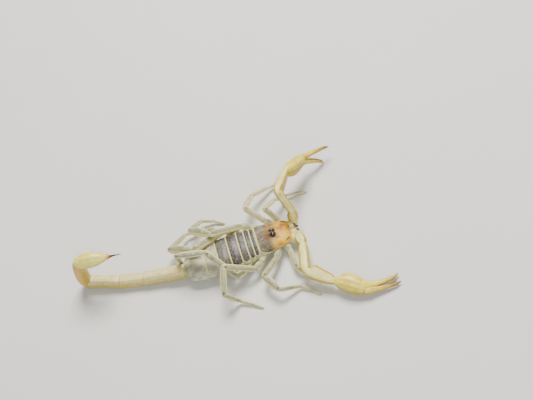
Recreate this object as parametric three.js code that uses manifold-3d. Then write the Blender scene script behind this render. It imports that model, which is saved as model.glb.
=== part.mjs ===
// A giant sand scorpion at life size, standing on a level floor.
// Millimetres, +X towards the head, +Y to the animal's left, +Z up, floor at z = 0.
import * as THREE from 'three';
import Module from 'manifold-3d';
import { mergeVertices } from 'three/addons/utils/BufferGeometryUtils.js';

const wasm = await Module();
wasm.setup();

// ---- driving dimensions -------------------------------------------------------------
const GAP = 0.26;                 // thin cut between neighbouring pieces
const OVERRUN = 0.35;             // how far a segment runs past its joint before the cut
const BLOCK = 160;                // size of the cutting block

// trunk: station along the body, half width, back height, edge height, belly height
const TRUNK = [
  [4.5, 2.65, 3.85, 3.0, 2.1],
  [3.4, 3.1, 4.3, 3.02, 1.5],
  [0.6, 3.6, 4.75, 3.08, 0.95],
  [-3.9, 4.1, 4.95, 3.15, 0.85],
  [-8.0, 4.65, 5.15, 3.15, 0.8],
  [-12.0, 4.6, 5.05, 3.05, 0.85],
  [-16.9, 4.25, 4.75, 2.95, 0.95],
  [-19.4, 3.85, 4.5, 2.85, 1.05],
  [-21.2, 3.1, 4.25, 2.75, 1.2],
  [-22.1, 1.9, 4.05, 2.7, 1.35],
];
const PLATE_SHARE = 0.95;         // the back plates are this much narrower than the soft sides
const BACK_ROUNDNESS = 2.3;       // 2 is an ellipse, more is a flatter back
const CARAPACE_FRONT = 4.5;
const CARAPACE_REAR = -3.9;
const TERGITE_ENDS = [-4.95, -6.3, -8.1, -10.7, -13.6, -16.9, -22.1];
const EYE_PLACE = { x: 0.45, y: 0.56, z: 5.0, radius: 0.46 };
const TUBERCLE = { x: 0.3, length: 1.6, width: 1.05, height: 0.62 };

// tail: lengths and pose of the five segments, each [azimuth, inclination] in degrees
const TAIL_ROOT = new THREE.Vector3(-22.1, 0, 2.7);
const TAIL_LENGTHS = [4.5, 6.1, 6.2, 8.9, 9.1];
const TAIL_POSE = [[165, -8], [167, -4], [164, -1], [157, 0], [-8, 81.5]];
const TAIL_HALF_WIDTHS = [1.64, 1.52, 1.5, 1.44, 1.5];
const TAIL_HALF_DEPTHS = [1.62, 1.66, 1.66, 1.64, 1.45];
const VESICLE = { pose: [-13, 4], length: 8.2, halfWidth: 2.0, halfDepth: 1.85 };
const STING = { pose: [-16, 16], length: 3.4, halfWidth: 0.42 };

// pedipalps: lengths, and pose from trochanter to movable finger
const PALP_ROOT = { x: 6.0, y: 2.2, z: 3.2 };
const HINGE_RADIUS = 0.86;
const PALP_LENGTHS = { trochanter: 2.7, femur: 7.1, patella: 7.4, palm: 8.4 };
// the two fingers of each hand: hinged, then fixed
const FINGER_LENGTHS = { right: [7.5, 7.2], left: [7.1, 6.4] };
const KNOB_ROWS = [[-0.1, 0.95, 0.9], [0.3, 1.22, 1.15], [0.75, 1.2, 1.1], [1.1, 1.0, 0.95]];
const PALP_POSE = {
  right: { trochanter: [-83, 7], femur: [-101, 2], patella: [-42, -8], palm: [-31, -7],
    finger: [-3, -8], fixed: [4, -9], rolls: [0, 10, 12, 8, 8] },
  left: { trochanter: [58, 70], femur: [117, 66], patella: [65, -22], palm: [43, -34],
    finger: [17, -18], fixed: [8, -41], rolls: [0, 80, 88, 92, 92] },
};
// [share of the length, outer half width, inner half width, half depth]
const PALP_FEMUR_ROWS = [[-0.04, 0.85, 0.85, 0.8], [0.12, 1.08, 1.08, 0.95], [0.55, 1.18, 1.18, 1.0],
  [0.9, 1.22, 1.22, 1.0], [1.04, 0.95, 0.95, 0.9]];
const PALP_PATELLA_ROWS = [[-0.04, 0.9, 0.9, 0.88], [0.1, 1.25, 1.1, 1.05], [0.27, 1.5, 1.85, 1.2],
  [0.42, 1.48, 1.45, 1.16], [0.7, 1.28, 1.2, 1.08], [0.9, 1.02, 0.92, 0.95], [1.04, 0.85, 0.8, 0.8]];
const PALM_ROWS = [[-0.03, 0.88, 0.88, 0.85], [0.1, 1.3, 1.65, 1.3], [0.27, 1.75, 2.35, 1.64],
  [0.44, 2.0, 2.45, 1.74], [0.64, 2.05, 2.0, 1.64], [0.84, 1.75, 1.4, 1.3], [1.0, 1.35, 1.0, 1.0]];

const COXA_STARTS = [2.4, 1.1, -0.9, -2.9];
// legs: lengths by leg number, and pose of each segment in degrees
const LEG_ROOTS = [[2.5, 2.85, 2.3], [0.4, 3.9, 2.4], [-4.3, 5.1, 2.45], [-8.5, 5.4, 2.2]];
const LEG_LENGTHS = {
  trochanter: [1.5, 1.8, 2.2, 2.4],
  femur: [5.3, 6.1, 8.1, 9.6],
  patella: [4.5, 5.1, 6.7, 7.8],
  tibia: [4.7, 5.2, 5.2, 6.2],
  basitarsus: [2.6, 2.9, 3.3, 4.2],
  telotarsus: [2.0, 2.2, 2.4, 2.7],
};
const LEG_GIRTHS = [0.94, 1.02, 1.08, 1.1];
const LEG_POSE = {
  right: [
    [[-74, 2], [-87, -2], [-42, -21], [-30, -5], [-22, -3], [-16, -3]],
    [[-121, 4], [-134, 12], [-60, -6], [4, -27], [-40, -10], [-46, -5]],
    [[-139, 10], [171, 33], [-106, -14], [-6, -61], [-34, -9], [-40, -5]],
    [[-151, 8], [131, 39], [159, -10], [90, -81], [168, -8], [163, -5]],
  ],
  left: [
    [[88, -12], [139, 59], [47, -32], [32, -39], [0, -13], [-14, -8]],
    [[122, -12], [137, 39], [61, -25], [25, -26], [16, -18], [14, -8]],
    [[160, 20], [-170, 25], [139, -16], [50, -34], [-12, -18], [-34, -9]],
    [[157, 23], [-152, 21], [145, -20], [40, -19], [5, -16], [-10, -11]],
  ],
};
const LEG_PARTS = ['trochanter', 'femur', 'patella', 'tibia', 'basitarsus', 'telotarsus'];

// ---- finishes -----------------------------------------------------------------------
const COLOURS = {
  carapace: 0xb58a4a, tergite: 0x8d8470, belly: 0xc4c2a2, eye: 0x0a0806, chelicera: 0xcdb27a,
  palp: 0xdcc06a, finger: 0xc99a3e, leg: 0xc9c7a0, tail: 0xd6c483, tailEnd: 0xc0963f,
  vesicle: 0xdccf95, sting: 0x5a2a1c, pecten: 0xd8cfa8,
};

function finish(colour) {
  return new THREE.MeshStandardMaterial({ color: COLOURS[colour], roughness: 0.42, metalness: 0 });
}

// ---- making solids ------------------------------------------------------------------
const RAD = Math.PI / 180;
const UP = new THREE.Vector3(0, 0, 1);

function direction([azimuth, inclination]) {
  const flat = Math.cos(inclination * RAD);
  return new THREE.Vector3(flat * Math.cos(azimuth * RAD), flat * Math.sin(azimuth * RAD),
    Math.sin(inclination * RAD));
}

// A turn that lays local +X along the segment and keeps local +Z as near `top` as it can.
function turnAlong(along, top, roll = 0) {
  const side = new THREE.Vector3().crossVectors(top, along).normalize();
  const above = new THREE.Vector3().crossVectors(along, side);
  const basis = new THREE.Matrix4().makeBasis(along, side, above);
  const turn = new THREE.Quaternion().setFromRotationMatrix(basis);
  return turn.multiply(new THREE.Quaternion().setFromAxisAngle(new THREE.Vector3(1, 0, 0), roll * RAD));
}

function toSolid(geometry) {
  const bare = geometry.clone();
  bare.deleteAttribute('normal');
  bare.deleteAttribute('uv');
  const merged = mergeVertices(bare, 1e-5);
  return new wasm.Manifold(new wasm.Mesh({
    numProp: 3,
    vertProperties: new Float32Array(merged.attributes.position.array),
    triVerts: new Uint32Array(merged.index.array),
  }));
}

function toGeometry(solid) {
  const mesh = solid.getMesh();
  const geometry = new THREE.BufferGeometry();
  geometry.setAttribute('position', new THREE.BufferAttribute(new Float32Array(mesh.vertProperties), 3));
  geometry.setIndex(new THREE.BufferAttribute(new Uint32Array(mesh.triVerts), 1));
  geometry.computeVertexNormals();
  return geometry;
}

// One closed ring across local X: half width, height above and depth below its centre.
function ring({ x, y = 0, z = 0, wide, high, deep = high, power = 2, sides = 10 }) {
  const points = [];
  for (let k = 0; k < sides; k += 1) {
    const angle = 2 * Math.PI * (k + 0.5) / sides;
    const c = Math.cos(angle);
    const s = Math.sin(angle);
    const across = Math.sign(c) * Math.abs(c) ** (2 / power);
    const rise = Math.sign(s) * Math.abs(s) ** (2 / power);
    points.push(new THREE.Vector3(x, y + wide * across, z + (s > 0 ? high : deep) * rise));
  }
  return points;
}

// A closed skin through rings that follow each other along local +X.
function loft(rings) {
  const sides = rings[0].length;
  const middle = (points) => points.reduce((sum, p) => sum.add(p), new THREE.Vector3()).divideScalar(sides);
  const vertices = rings.flat();
  const first = vertices.push(middle(rings[0])) - 1;
  const last = vertices.push(middle(rings[rings.length - 1])) - 1;
  const faces = [];
  for (let r = 0; r + 1 < rings.length; r += 1) {
    for (let k = 0; k < sides; k += 1) {
      const a = r * sides + k;
      const b = r * sides + (k + 1) % sides;
      faces.push(a, b, b + sides, a, b + sides, a + sides);
    }
  }
  const end = (rings.length - 1) * sides;
  for (let k = 0; k < sides; k += 1) {
    faces.push(first, (k + 1) % sides, k);
    faces.push(last, end + k, end + (k + 1) % sides);
  }
  const geometry = new THREE.BufferGeometry().setFromPoints(vertices);
  geometry.setIndex(faces);
  return toSolid(geometry);
}

// A big block whose near face passes through `point` and which lies on the side of `normal`.
function blockBeyond(point, normal) {
  const box = new THREE.BoxGeometry(BLOCK, BLOCK, BLOCK).translate(0, 0, BLOCK / 2);
  box.applyQuaternion(new THREE.Quaternion().setFromUnitVectors(UP, normal.clone().normalize()));
  box.translate(point.x, point.y, point.z);
  return toSolid(box);
}

function ball(radius, x, y, z, sides = 10) {
  return toSolid(new THREE.SphereGeometry(radius, sides, sides - 3).translate(x, y, z));
}

// Tapered limb from rows of [share of the length, half width, half depth].
function limb(length, rows, options = {}) {
  const rings = rows.map(([share, wide, high]) => ring({
    x: share * length, wide, high, sides: options.sides ?? 8, power: options.power ?? 2.2,
    y: (options.sway ?? (() => 0))(share), z: (options.lift ?? (() => 0))(share),
  }));
  return loft(rings);
}

// A piece in its own frame: +X along it from its joint, with the place it goes to.
class Piece {
  constructor(solid, origin, turn) {
    this.solid = solid;
    this.origin = origin;
    this.turn = turn;
  }

  inward(point) {
    return point.clone().sub(this.origin).applyQuaternion(this.turn.clone().invert());
  }

  // removes what lies beyond a plane given in the animal's frame
  trim(point, normal) {
    const facing = normal.clone().applyQuaternion(this.turn.clone().invert());
    this.solid = this.solid.subtract(blockBeyond(this.inward(point), facing));
    return this;
  }

  // joins another piece on, carried over into this piece's frame
  weld(other) {
    const back = this.turn.clone().invert();
    const geometry = toGeometry(other.solid);
    geometry.applyQuaternion(back.clone().multiply(other.turn));
    const shift = this.inward(other.origin);
    geometry.translate(shift.x, shift.y, shift.z);
    this.solid = this.solid.add(toSolid(geometry));
    return this;
  }

  // drops the crumbs that a cut leaves beside the main body
  keepLargest() {
    this.solid = this.solid.decompose().sort((a, b) => b.volume() - a.volume())[0];
    return this;
  }

  carve(other) {
    const geometry = toGeometry(other);
    const shift = this.origin.clone().negate();
    geometry.translate(shift.x, shift.y, shift.z);
    geometry.applyQuaternion(this.turn.clone().invert());
    this.solid = this.solid.subtract(toSolid(geometry));
    return this;
  }
}

// One smooth body through several joints. Rows: [segment, share of it, half width, half depth].
function bentLimb(segments, rows, sides) {
  const origin = segments[0].start;
  const turn = turnAlong(segments[0].along, UP);
  const back = turn.clone().invert();
  const rings = rows.map(([k, share, wide, high]) => {
    const { start, along, length } = segments[k];
    const facing = along.clone();
    if (share >= 1 && k + 1 < segments.length) {
      facing.add(segments[k + 1].along).normalize();
    }
    const tilt = turnAlong(facing, UP);
    return ring({ x: 0, wide, high, sides, power: 2.2 }).map((point) => point.applyQuaternion(tilt)
      .add(start).addScaledVector(along, share * length).sub(origin).applyQuaternion(back));
  });
  return new Piece(loft(rings), origin.clone(), turn);
}

const scorpion = new THREE.Group();

function addPiece(name, piece, colour) {
  const mesh = new THREE.Mesh(toGeometry(piece.solid), finish(colour));
  mesh.name = name;
  mesh.position.copy(piece.origin);
  mesh.quaternion.copy(piece.turn);
  scorpion.add(mesh);
}

function addSolid(name, solid, colour) {
  addPiece(name, new Piece(solid, new THREE.Vector3(), new THREE.Quaternion()), colour);
}

// ---- chains of segments ---------------------------------------------------------------
// Each link: { build(length), pose, length, roll }. Cuts lie across the bend of each joint.
function chain(root, links, top = UP) {
  const pieces = [];
  let joint = root.clone();
  let above = top.clone();
  let carried = above;
  let before = null;
  for (const link of links) {
    const along = direction(link.pose);
    if (link.carryTop && before) {
      // the tail's upper side turns with each bend, and isn't led by the sky
      above = carried.clone().applyQuaternion(new THREE.Quaternion().setFromUnitVectors(before, along));
    }
    carried = above.clone();
    before = along;
    const turn = turnAlong(along, above, link.roll ?? 0);
    const piece = new Piece(link.build(link.length), joint.clone(), turn);
    piece.along = along;
    piece.start = joint.clone();
    joint = joint.clone().addScaledVector(along, link.length);
    piece.end = joint.clone();
    above = top.clone();
    pieces.push(piece);
  }
  return pieces;
}

function partAtJoint(before, after, gap = GAP) {
  const across = before.along.clone().add(after.along).normalize();
  before.trim(before.end.clone().addScaledVector(across, -gap / 2), across);
  after.trim(after.start.clone().addScaledVector(across, gap / 2), across.clone().negate());
}

function settleOnFloor(piece) {
  piece.trim(new THREE.Vector3(0, 0, 0), UP.clone().negate());
}

// the cut between trunk and tail stands square to the middle of their two directions
const WAIST = direction(TAIL_POSE[0]).add(new THREE.Vector3(-1, 0, 0)).normalize();

// ---- trunk ----------------------------------------------------------------------------
// Smooth reading of one column of TRUNK at station x.
function trunk(column, x) {
  const last = TRUNK.length - 1;
  let k = 0;
  while (k < last - 1 && x < TRUNK[k + 1][0]) {
    k += 1;
  }
  const slope = (i) => {
    const a = TRUNK[Math.max(i - 1, 0)];
    const b = TRUNK[Math.min(i + 1, last)];
    return (b[column] - a[column]) / (b[0] - a[0]);
  };
  const [p, q] = [TRUNK[k], TRUNK[k + 1]];
  const span = q[0] - p[0];
  const t = (x - p[0]) / span;
  const h = [2 * t ** 3 - 3 * t ** 2 + 1, t ** 3 - 2 * t ** 2 + t, -2 * t ** 3 + 3 * t ** 2, t ** 3 - t ** 2];
  return h[0] * p[column] + h[1] * span * slope(k) + h[2] * q[column] + h[3] * span * slope(k + 1);
}

function trunkRing(x, swell, sides, width = 1) {
  const edge = trunk(3, x);
  return ring({ x: -x, z: edge, wide: trunk(1, x) * swell * width, high: (trunk(2, x) - edge) * swell,
    deep: edge - trunk(4, x), power: BACK_ROUNDNESS, sides });
}

// A length of trunk from front to rear; `swells` widens it in steps from front to rear.
function trunkLength(front, rear, swells, sides = 20, width = 1) {
  const rings = swells.map(([share, swell]) => trunkRing(front + (rear - front) * share, swell, sides, width));
  return loft(rings);
}

// the lofts above run backwards along the body, so local +X is the animal's -X
const TRUNK_TURN = new THREE.Quaternion().setFromAxisAngle(UP, Math.PI);

function trunkPiece(front, rear, swells, sides, width) {
  const solid = trunkLength(front, rear, swells, sides, width);
  return new Piece(solid, new THREE.Vector3(), TRUNK_TURN.clone());
}

// The plane that parts the back plates from the soft side: it follows the body's edge.
function edgePlane(front, rear) {
  const a = new THREE.Vector3(front, 0, trunk(3, front));
  const b = new THREE.Vector3(rear, 0, trunk(3, rear));
  const normal = new THREE.Vector3().crossVectors(b.clone().sub(a), new THREE.Vector3(0, 1, 0)).normalize();
  return { point: a.add(b).multiplyScalar(0.5), normal: normal.z > 0 ? normal : normal.negate() };
}

function buildCarapace() {
  const shares = [0, 0.12, 0.3, 0.5, 0.7, 0.88, 1];
  const swells = shares.map((share) => [share, share === 0 ? 0.94 : 1]);
  const carapace = trunkPiece(CARAPACE_FRONT, CARAPACE_REAR + GAP / 2, swells, 24);
  const { point, normal } = edgePlane(CARAPACE_FRONT, CARAPACE_REAR);
  carapace.trim(point.addScaledVector(normal, GAP / 2), normal.clone().negate());
  // shallow notch in the middle of the front edge
  const notch = new THREE.CylinderGeometry(0.9, 0.9, 6, 16).rotateX(Math.PI / 2);
  carapace.carve(toSolid(notch.translate(CARAPACE_FRONT + 0.62, 0, 3.5)));
  // low mound that carries the two median eyes
  const mound = new THREE.SphereGeometry(1, 12, 8);
  mound.scale(TUBERCLE.length / 2, TUBERCLE.width / 2 * 1.5, TUBERCLE.height);
  mound.translate(TUBERCLE.x, 0, trunk(2, TUBERCLE.x) - 0.12);
  carapace.weld(new Piece(toSolid(mound), new THREE.Vector3(), new THREE.Quaternion()));
  for (const side of [1, -1]) {
    carapace.carve(ball(EYE_PLACE.radius + 0.2, EYE_PLACE.x, side * EYE_PLACE.y, EYE_PLACE.z));
  }
  return carapace;
}

// Each back plate lies a little proud at its rear edge, over the front of the next one.
function buildTergite(index) {
  const front = index === 0 ? CARAPACE_REAR : TERGITE_ENDS[index - 1];
  const rear = TERGITE_ENDS[index];
  const swells = [[0, 0.96], [0.45, 0.985], [0.8, 1.0], [1, 0.995]];
  const plate = trunkPiece(front - GAP / 2, rear + GAP / 2, swells, 18, PLATE_SHARE);
  const { point, normal } = edgePlane(front, rear);
  plate.trim(point.addScaledVector(normal, GAP / 2), normal.clone().negate());
  return plate.trim(TAIL_ROOT.clone().addScaledVector(WAIST, -GAP / 2), WAIST);
}

// Legs grow from coxae that fan out below the carapace; claws' coxae reach forward.
function coxaPieces(swell = 0) {
  const pieces = [];
  for (const side of [1, -1]) {
    LEG_ROOTS.forEach(([x, y, z], index) => {
      const from = new THREE.Vector3(COXA_STARTS[index], side * 0.9, z - 0.6);
      const to = new THREE.Vector3(x, side * y, z);
      const along = to.clone().sub(from);
      const length = along.length();
      along.normalize();
      const girth = 0.82 * LEG_GIRTHS[index] + swell;
      const end = 1 + swell * 0.12;
      const rows = [[-0.05, girth, girth], [0.6, girth * 1.1, girth * 1.05], [end, girth * 0.85, girth * 0.9]];
      pieces.push(new Piece(limb(length, rows, { sides: 8 }), from, turnAlong(along, UP)));
    });
    const from = new THREE.Vector3(2.6, side * 1.35, 2.3);
    const to = new THREE.Vector3(PALP_ROOT.x + 0.5, side * (PALP_ROOT.y - 0.2), PALP_ROOT.z - 0.25);
    const along = to.clone().sub(from);
    const length = along.length();
    along.normalize();
    const rows = [[-0.1, 1.0, 0.95], [0.6, 1.12, 1.0], [1, 0.85, 0.85]];
    const grown = rows.map(([share, w, h]) => [share, w + swell, h + swell]);
    pieces.push(new Piece(limb(length, grown), from, turnAlong(along, UP)));
  }
  return pieces;
}

// The sockets in which the first segments of legs and claws sit.
function socketPieces() {
  const sockets = [];
  for (const [name, side] of [['right', -1], ['left', 1]]) {
    LEG_ROOTS.forEach(([x, y, z], index) => {
      const girth = LEG_GIRTHS[index];
      const rows = LEG_ROWS.trochanter.map(([s, w, h]) => [s, w * girth + GAP, h * girth + GAP]);
      const along = direction(LEG_POSE[name][index][0]);
      const root = new THREE.Vector3(x, side * y, z).addScaledVector(along, -GAP);
      rows[0][0] = 0.05;
      const socket = limb(LEG_LENGTHS.trochanter[index] + GAP, rows, { sides: 8 });
      sockets.push(new Piece(socket, root, turnAlong(along, UP)));
    });
    const along = direction(PALP_POSE[name].trochanter);
    const rows = KNOB_ROWS.map(([share, w, h]) => [share, w + GAP, h + GAP]);
    rows[0][0] = 0;
    const root = new THREE.Vector3(PALP_ROOT.x, side * PALP_ROOT.y, PALP_ROOT.z);
    root.addScaledVector(along, -GAP * 0.8);
    sockets.push(new Piece(limb(PALP_LENGTHS.trochanter, rows, { sides: 10 }), root, turnAlong(along, UP)));
  }
  return sockets;
}

function fused(pieces) {
  const whole = new Piece(pieces[0].solid, pieces[0].origin, pieces[0].turn);
  for (const piece of pieces.slice(1)) {
    whole.weld(piece);
  }
  return whole;
}

// brings a piece's solid out into the animal's frame
function inAnimalFrame(piece) {
  const geometry = toGeometry(piece.solid);
  geometry.applyQuaternion(piece.turn);
  geometry.translate(piece.origin.x, piece.origin.y, piece.origin.z);
  return toSolid(geometry);
}

function buildProsomaUnderside() {
  const swells = [[0, 0.9], [0.25, 1], [0.6, 1], [1, 0.98]];
  const block = trunkPiece(CARAPACE_FRONT - 0.4, CARAPACE_REAR + GAP / 2, swells, 12);
  const { point, normal } = edgePlane(CARAPACE_FRONT, CARAPACE_REAR);
  const seam = point.addScaledVector(normal, -GAP / 2);
  block.trim(seam, normal);
  block.weld(fused(coxaPieces()));
  block.trim(new THREE.Vector3(0, 0, trunk(3, 0) + 0.45), UP);
  // clear of the carapace, whose outline is wider than its seam
  block.carve(inAnimalFrame(carapaceEnvelope()));
  block.carve(inAnimalFrame(fused(socketPieces())));
  for (const side of [1, -1]) {
    block.carve(inAnimalFrame(buildChelicera(side, 0.22)));
  }
  return block.keepLargest();
}

function carapaceEnvelope() {
  const swells = [[0, 1.08], [0.12, 1.08], [0.5, 1.07], [1, 1.07]];
  const envelope = trunkPiece(CARAPACE_FRONT + 0.25, CARAPACE_REAR - GAP, swells, 12);
  const { point, normal } = edgePlane(CARAPACE_FRONT, CARAPACE_REAR);
  return envelope.trim(point.addScaledVector(normal, -GAP / 2), normal.clone().negate());
}

function buildBelly() {
  const shares = [0, 0.2, 0.4, 0.6, 0.8, 0.92, 1];
  const swells = shares.map((share) => [share, 0.985]);
  const belly = trunkPiece(CARAPACE_REAR - GAP / 2, TERGITE_ENDS[6], swells, 16);
  // the soft side stops below the back plates
  for (let index = 0; index < 7; index += 1) {
    const front = index === 0 ? CARAPACE_REAR : TERGITE_ENDS[index - 1];
    const rear = TERGITE_ENDS[index];
    const { point, normal } = edgePlane(front, rear);
    const slab = new THREE.BoxGeometry(front - rear + 0.02, 14, 6).translate((front + rear) / 2, 0, 3);
    const tilt = Math.atan2(normal.x, normal.z);
    slab.translate(-point.x, 0, 0).rotateY(tilt).translate(point.x, 0, 0);
    const seam = point.z - GAP / 2;
    belly.carve(toSolid(slab.translate(0, 0, seam)));
  }
  belly.carve(inAnimalFrame(fused(coxaPieces(GAP))));
  belly.carve(inAnimalFrame(fused(socketPieces())));
  belly.trim(TAIL_ROOT.clone().addScaledVector(WAIST, -GAP / 2), WAIST);
  return belly.keepLargest();
}

// Comb-shaped sense organs below, behind the last legs: a rib with a row of teeth.
function buildPecten(side) {
  const length = 4.6;
  const rib = limb(length, [[0, 0.3, 0.25], [0.5, 0.36, 0.26], [1, 0.24, 0.22]], { sides: 6 });
  const along = direction([side * 128, 0]);
  const origin = new THREE.Vector3(-6.1, side * 0.55, 0.42);
  const pecten = new Piece(rib, origin, turnAlong(along, UP));
  for (let k = 0; k < 7; k += 1) {
    const tooth = new THREE.BoxGeometry(0.36, 0.75, 0.3).translate(0.55 + k * 0.58, side * 0.6, 0);
    pecten.solid = pecten.solid.add(toSolid(tooth));
  }
  return pecten;
}

// ---- head -----------------------------------------------------------------------------
// Small pincers beside the mouth: a stout base and two short fingers. With a swell, the
// space around them.
function buildChelicera(side, swell = 0) {
  const rows = [[-swell, 0.5, 0.5], [0.4, 0.62, 0.6], [1 + swell, 0.52, 0.48]];
  const girths = rows.map(([share, w, h]) => [share * (1 + swell * 0.3), w + swell, h + swell]);
  const base = limb(1.15, girths, { sides: 8 });
  const root = new THREE.Vector3(4.72, side * 0.8, 3.3);
  const pincer = new Piece(base, root, turnAlong(direction([side * 3, -5]), UP));
  const fingerRows = [[0, 0.29, 0.3], [0.5, 0.25, 0.27], [1, 0.12, 0.12]]
    .map(([share, w, h]) => [share, w + swell, h + swell]);
  for (const spread of [-1, 1]) {
    const tip = new THREE.Vector3(5.72, side * 0.82 + spread * 0.27, 3.28);
    const turn = turnAlong(direction([spread * 4, -14]), UP);
    pincer.weld(new Piece(limb(0.7 + swell, fingerRows, { sides: 6 }), tip, turn));
  }
  return pincer;
}

// ---- tail -----------------------------------------------------------------------------
// A tail segment is narrower at its front, has ridges along it and flares at its rear.
function tailSegment(wide, high) {
  return (length) => loft([-OVERRUN / length, 0.08, 0.3, 0.6, 0.88, 1 + OVERRUN / length].map((share) => {
    const flare = 0.9 + 0.1 * Math.min(1, Math.max(0, share)) + (share > 0.08 && share < 0.9 ? 0.03 : 0);
    return ring({ x: share * length, wide: wide * flare, high: high * flare, power: 2.7, sides: 12 });
  }));
}

function lastTailSegment(length) {
  const [wide, high] = [TAIL_HALF_WIDTHS[4], TAIL_HALF_DEPTHS[4]];
  const rows = [[-0.04, 0.98, 0.98], [0.25, 1.04, 1.04], [0.6, 0.97, 1], [0.9, 0.84, 0.9], [1.03, 0.76, 0.8]];
  const rings = rows.map(([share, w, h]) => ring({
    x: share * length, wide: wide * w, high: high * h, power: 2.6, sides: 12 }));
  return loft(rings);
}

// The bulb hangs below its own axis, so the side away from the floor bulges.
function vesicleBulb(length) {
  const { halfWidth, halfDepth } = VESICLE;
  const shares = [-0.03, 0.06, 0.2, 0.38, 0.56, 0.74, 0.88, 1.04];
  return loft(shares.map((share) => {
    const t = Math.min(1, Math.max(0, share));
    const full = Math.sin(Math.PI * (0.14 + 0.8 * t)) ** 0.75;
    const narrow = 1 - 0.3 * t * t;
    return ring({ x: share * length, wide: halfWidth * full * narrow, power: 2.1, sides: 14,
      high: halfDepth * full * narrow * 0.7, deep: halfDepth * full * narrow * 1.3, z: -0.15 * full });
  }));
}

function stingSpike(length) {
  const rows = [[-0.05, 1], [0.2, 0.8], [0.5, 0.52], [0.8, 0.3], [1, 0.14]];
  return loft(rows.map(([share, girth]) => ring({ x: share * length, z: 0.25 * share * share,
    wide: STING.halfWidth * girth, high: STING.halfWidth * girth, sides: 8 })));
}

function buildTail() {
  const links = TAIL_POSE.map((pose, k) => ({
    pose,
    length: TAIL_LENGTHS[k],
    carryTop: true,
    build: k < 4 ? tailSegment(TAIL_HALF_WIDTHS[k], TAIL_HALF_DEPTHS[k]) : lastTailSegment,
  }));
  links.push({ pose: VESICLE.pose, length: VESICLE.length, build: vesicleBulb, carryTop: true });
  links.push({ pose: STING.pose, length: STING.length, build: stingSpike, carryTop: true });
  return chain(TAIL_ROOT, links);
}

// ---- pedipalps ------------------------------------------------------------------------
// A claw segment that bulges more on its inner side; side is +1 on the left of the body.
function clawSegment(length, rows, side, options = {}) {
  const rings = rows.map(([share, outer, inner, high]) => ring({
    x: share * length, y: side * (outer - inner) / 2, wide: (outer + inner) / 2, high,
    sides: options.sides ?? 10, power: options.power ?? 2.2,
  }));
  return loft(rings);
}

function fingerSolid(length, bend, swell = 0) {
  const shares = [0, 0.2, 0.45, 0.7, 0.88, 1];
  return loft(shares.map((share) => {
    const t = share;
    const size = swell + 0.8 - 0.53 * t ** 1.1;
    return ring({ x: share * length, y: bend * (t - t * t), wide: size, high: size * 0.95, sides: 8 });
  }));
}

function buildPalp(name, side) {
  const pose = PALP_POSE[name];
  const lengths = PALP_LENGTHS;
  const [hingedLength, fixedLength] = FINGER_LENGTHS[name];
  const root = new THREE.Vector3(PALP_ROOT.x, side * PALP_ROOT.y, PALP_ROOT.z);
  const knobby = (length) => limb(length, KNOB_ROWS, { sides: 10 });
  const femur = (length) => clawSegment(length, PALP_FEMUR_ROWS, side, { power: 2.6 });
  const patella = (length) => clawSegment(length, PALP_PATELLA_ROWS, side, { power: 2.5 });
  const palm = (length) => clawSegment(length, PALM_ROWS, side, { sides: 12 });
  const pieces = chain(root, [
    { pose: pose.trochanter, length: lengths.trochanter, build: knobby, roll: pose.rolls[0] },
    { pose: pose.femur, length: lengths.femur, build: femur, roll: pose.rolls[1] },
    { pose: pose.patella, length: lengths.patella, build: patella, roll: pose.rolls[2] },
    { pose: pose.palm, length: lengths.palm, build: palm, roll: pose.rolls[3] },
  ]);
  for (let k = 0; k + 1 < pieces.length; k += 1) {
    partAtJoint(pieces[k], pieces[k + 1]);
  }
  pieces[0].trim(root.clone().addScaledVector(pieces[0].along, GAP / 2), pieces[0].along.clone().negate());
  const hand = pieces[3];
  const across = new THREE.Vector3(0, 1, 0).applyQuaternion(hand.turn);
  // the fixed finger grows from the inner corner of the palm, the other hinges at the outer one
  const fixedRoot = hand.end.clone().addScaledVector(across, -side * 0.62);
  fixedRoot.addScaledVector(hand.along, -0.6);
  const fixedTurn = turnAlong(direction(pose.fixed), UP, pose.rolls[4]);
  hand.weld(new Piece(fingerSolid(fixedLength, side * 1.8), fixedRoot, fixedTurn));
  const hinge = hand.end.clone().addScaledVector(across, side * 0.72).addScaledVector(hand.along, -0.25);
  const fingerTurn = turnAlong(direction(pose.finger), UP, pose.rolls[4]);
  const knuckle = HINGE_RADIUS;
  const finger = new Piece(ball(knuckle, 0, 0, 0, 8), hinge, fingerTurn);
  finger.weld(new Piece(fingerSolid(hingedLength, side * 0.6), hinge, fingerTurn));
  hand.carve(ball(knuckle + GAP, hinge.x, hinge.y, hinge.z, 8));
  const room = fingerSolid(hingedLength, side * 0.6, GAP * 1.15);
  hand.carve(inAnimalFrame(new Piece(room, hinge, fingerTurn)));
  hand.keepLargest();
  pieces.forEach(settleOnFloor);
  settleOnFloor(finger);
  return { pieces, finger };
}

// ---- legs -----------------------------------------------------------------------------
// half width and half depth along each segment, before the leg's own girth
const LEG_ROWS = {
  trochanter: [[-0.15, 0.6, 0.6], [0.4, 0.78, 0.8], [0.85, 0.72, 0.74], [1.0, 0.54, 0.56]],
  femur: [[0.18, 0.62, 0.7], [0.85, 0.66, 0.76], [1.05, 0.5, 0.55]],
  patella: [[-0.06, 0.45, 0.5], [0.14, 0.6, 0.78], [0.55, 0.7, 1.05], [0.9, 0.58, 0.82], [1.05, 0.44, 0.5]],
  tibia: [[-0.06, 0.42, 0.46], [0.2, 0.5, 0.6], [0.75, 0.43, 0.48], [1.0, 0.34, 0.36]],
  basitarsus: [[0.12, 0.37, 0.4], [1.0, 0.28, 0.29]],
  telotarsus: [[0.15, 0.32, 0.33], [0.75, 0.29, 0.3], [1.0, 0.26, 0.27]],
};
const FOOT_HEIGHT = 0.2;         // height of the end of the foot's axis
const LEG_ROLL = 38;             // the flat sides of a leg face up and forward by this much

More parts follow.
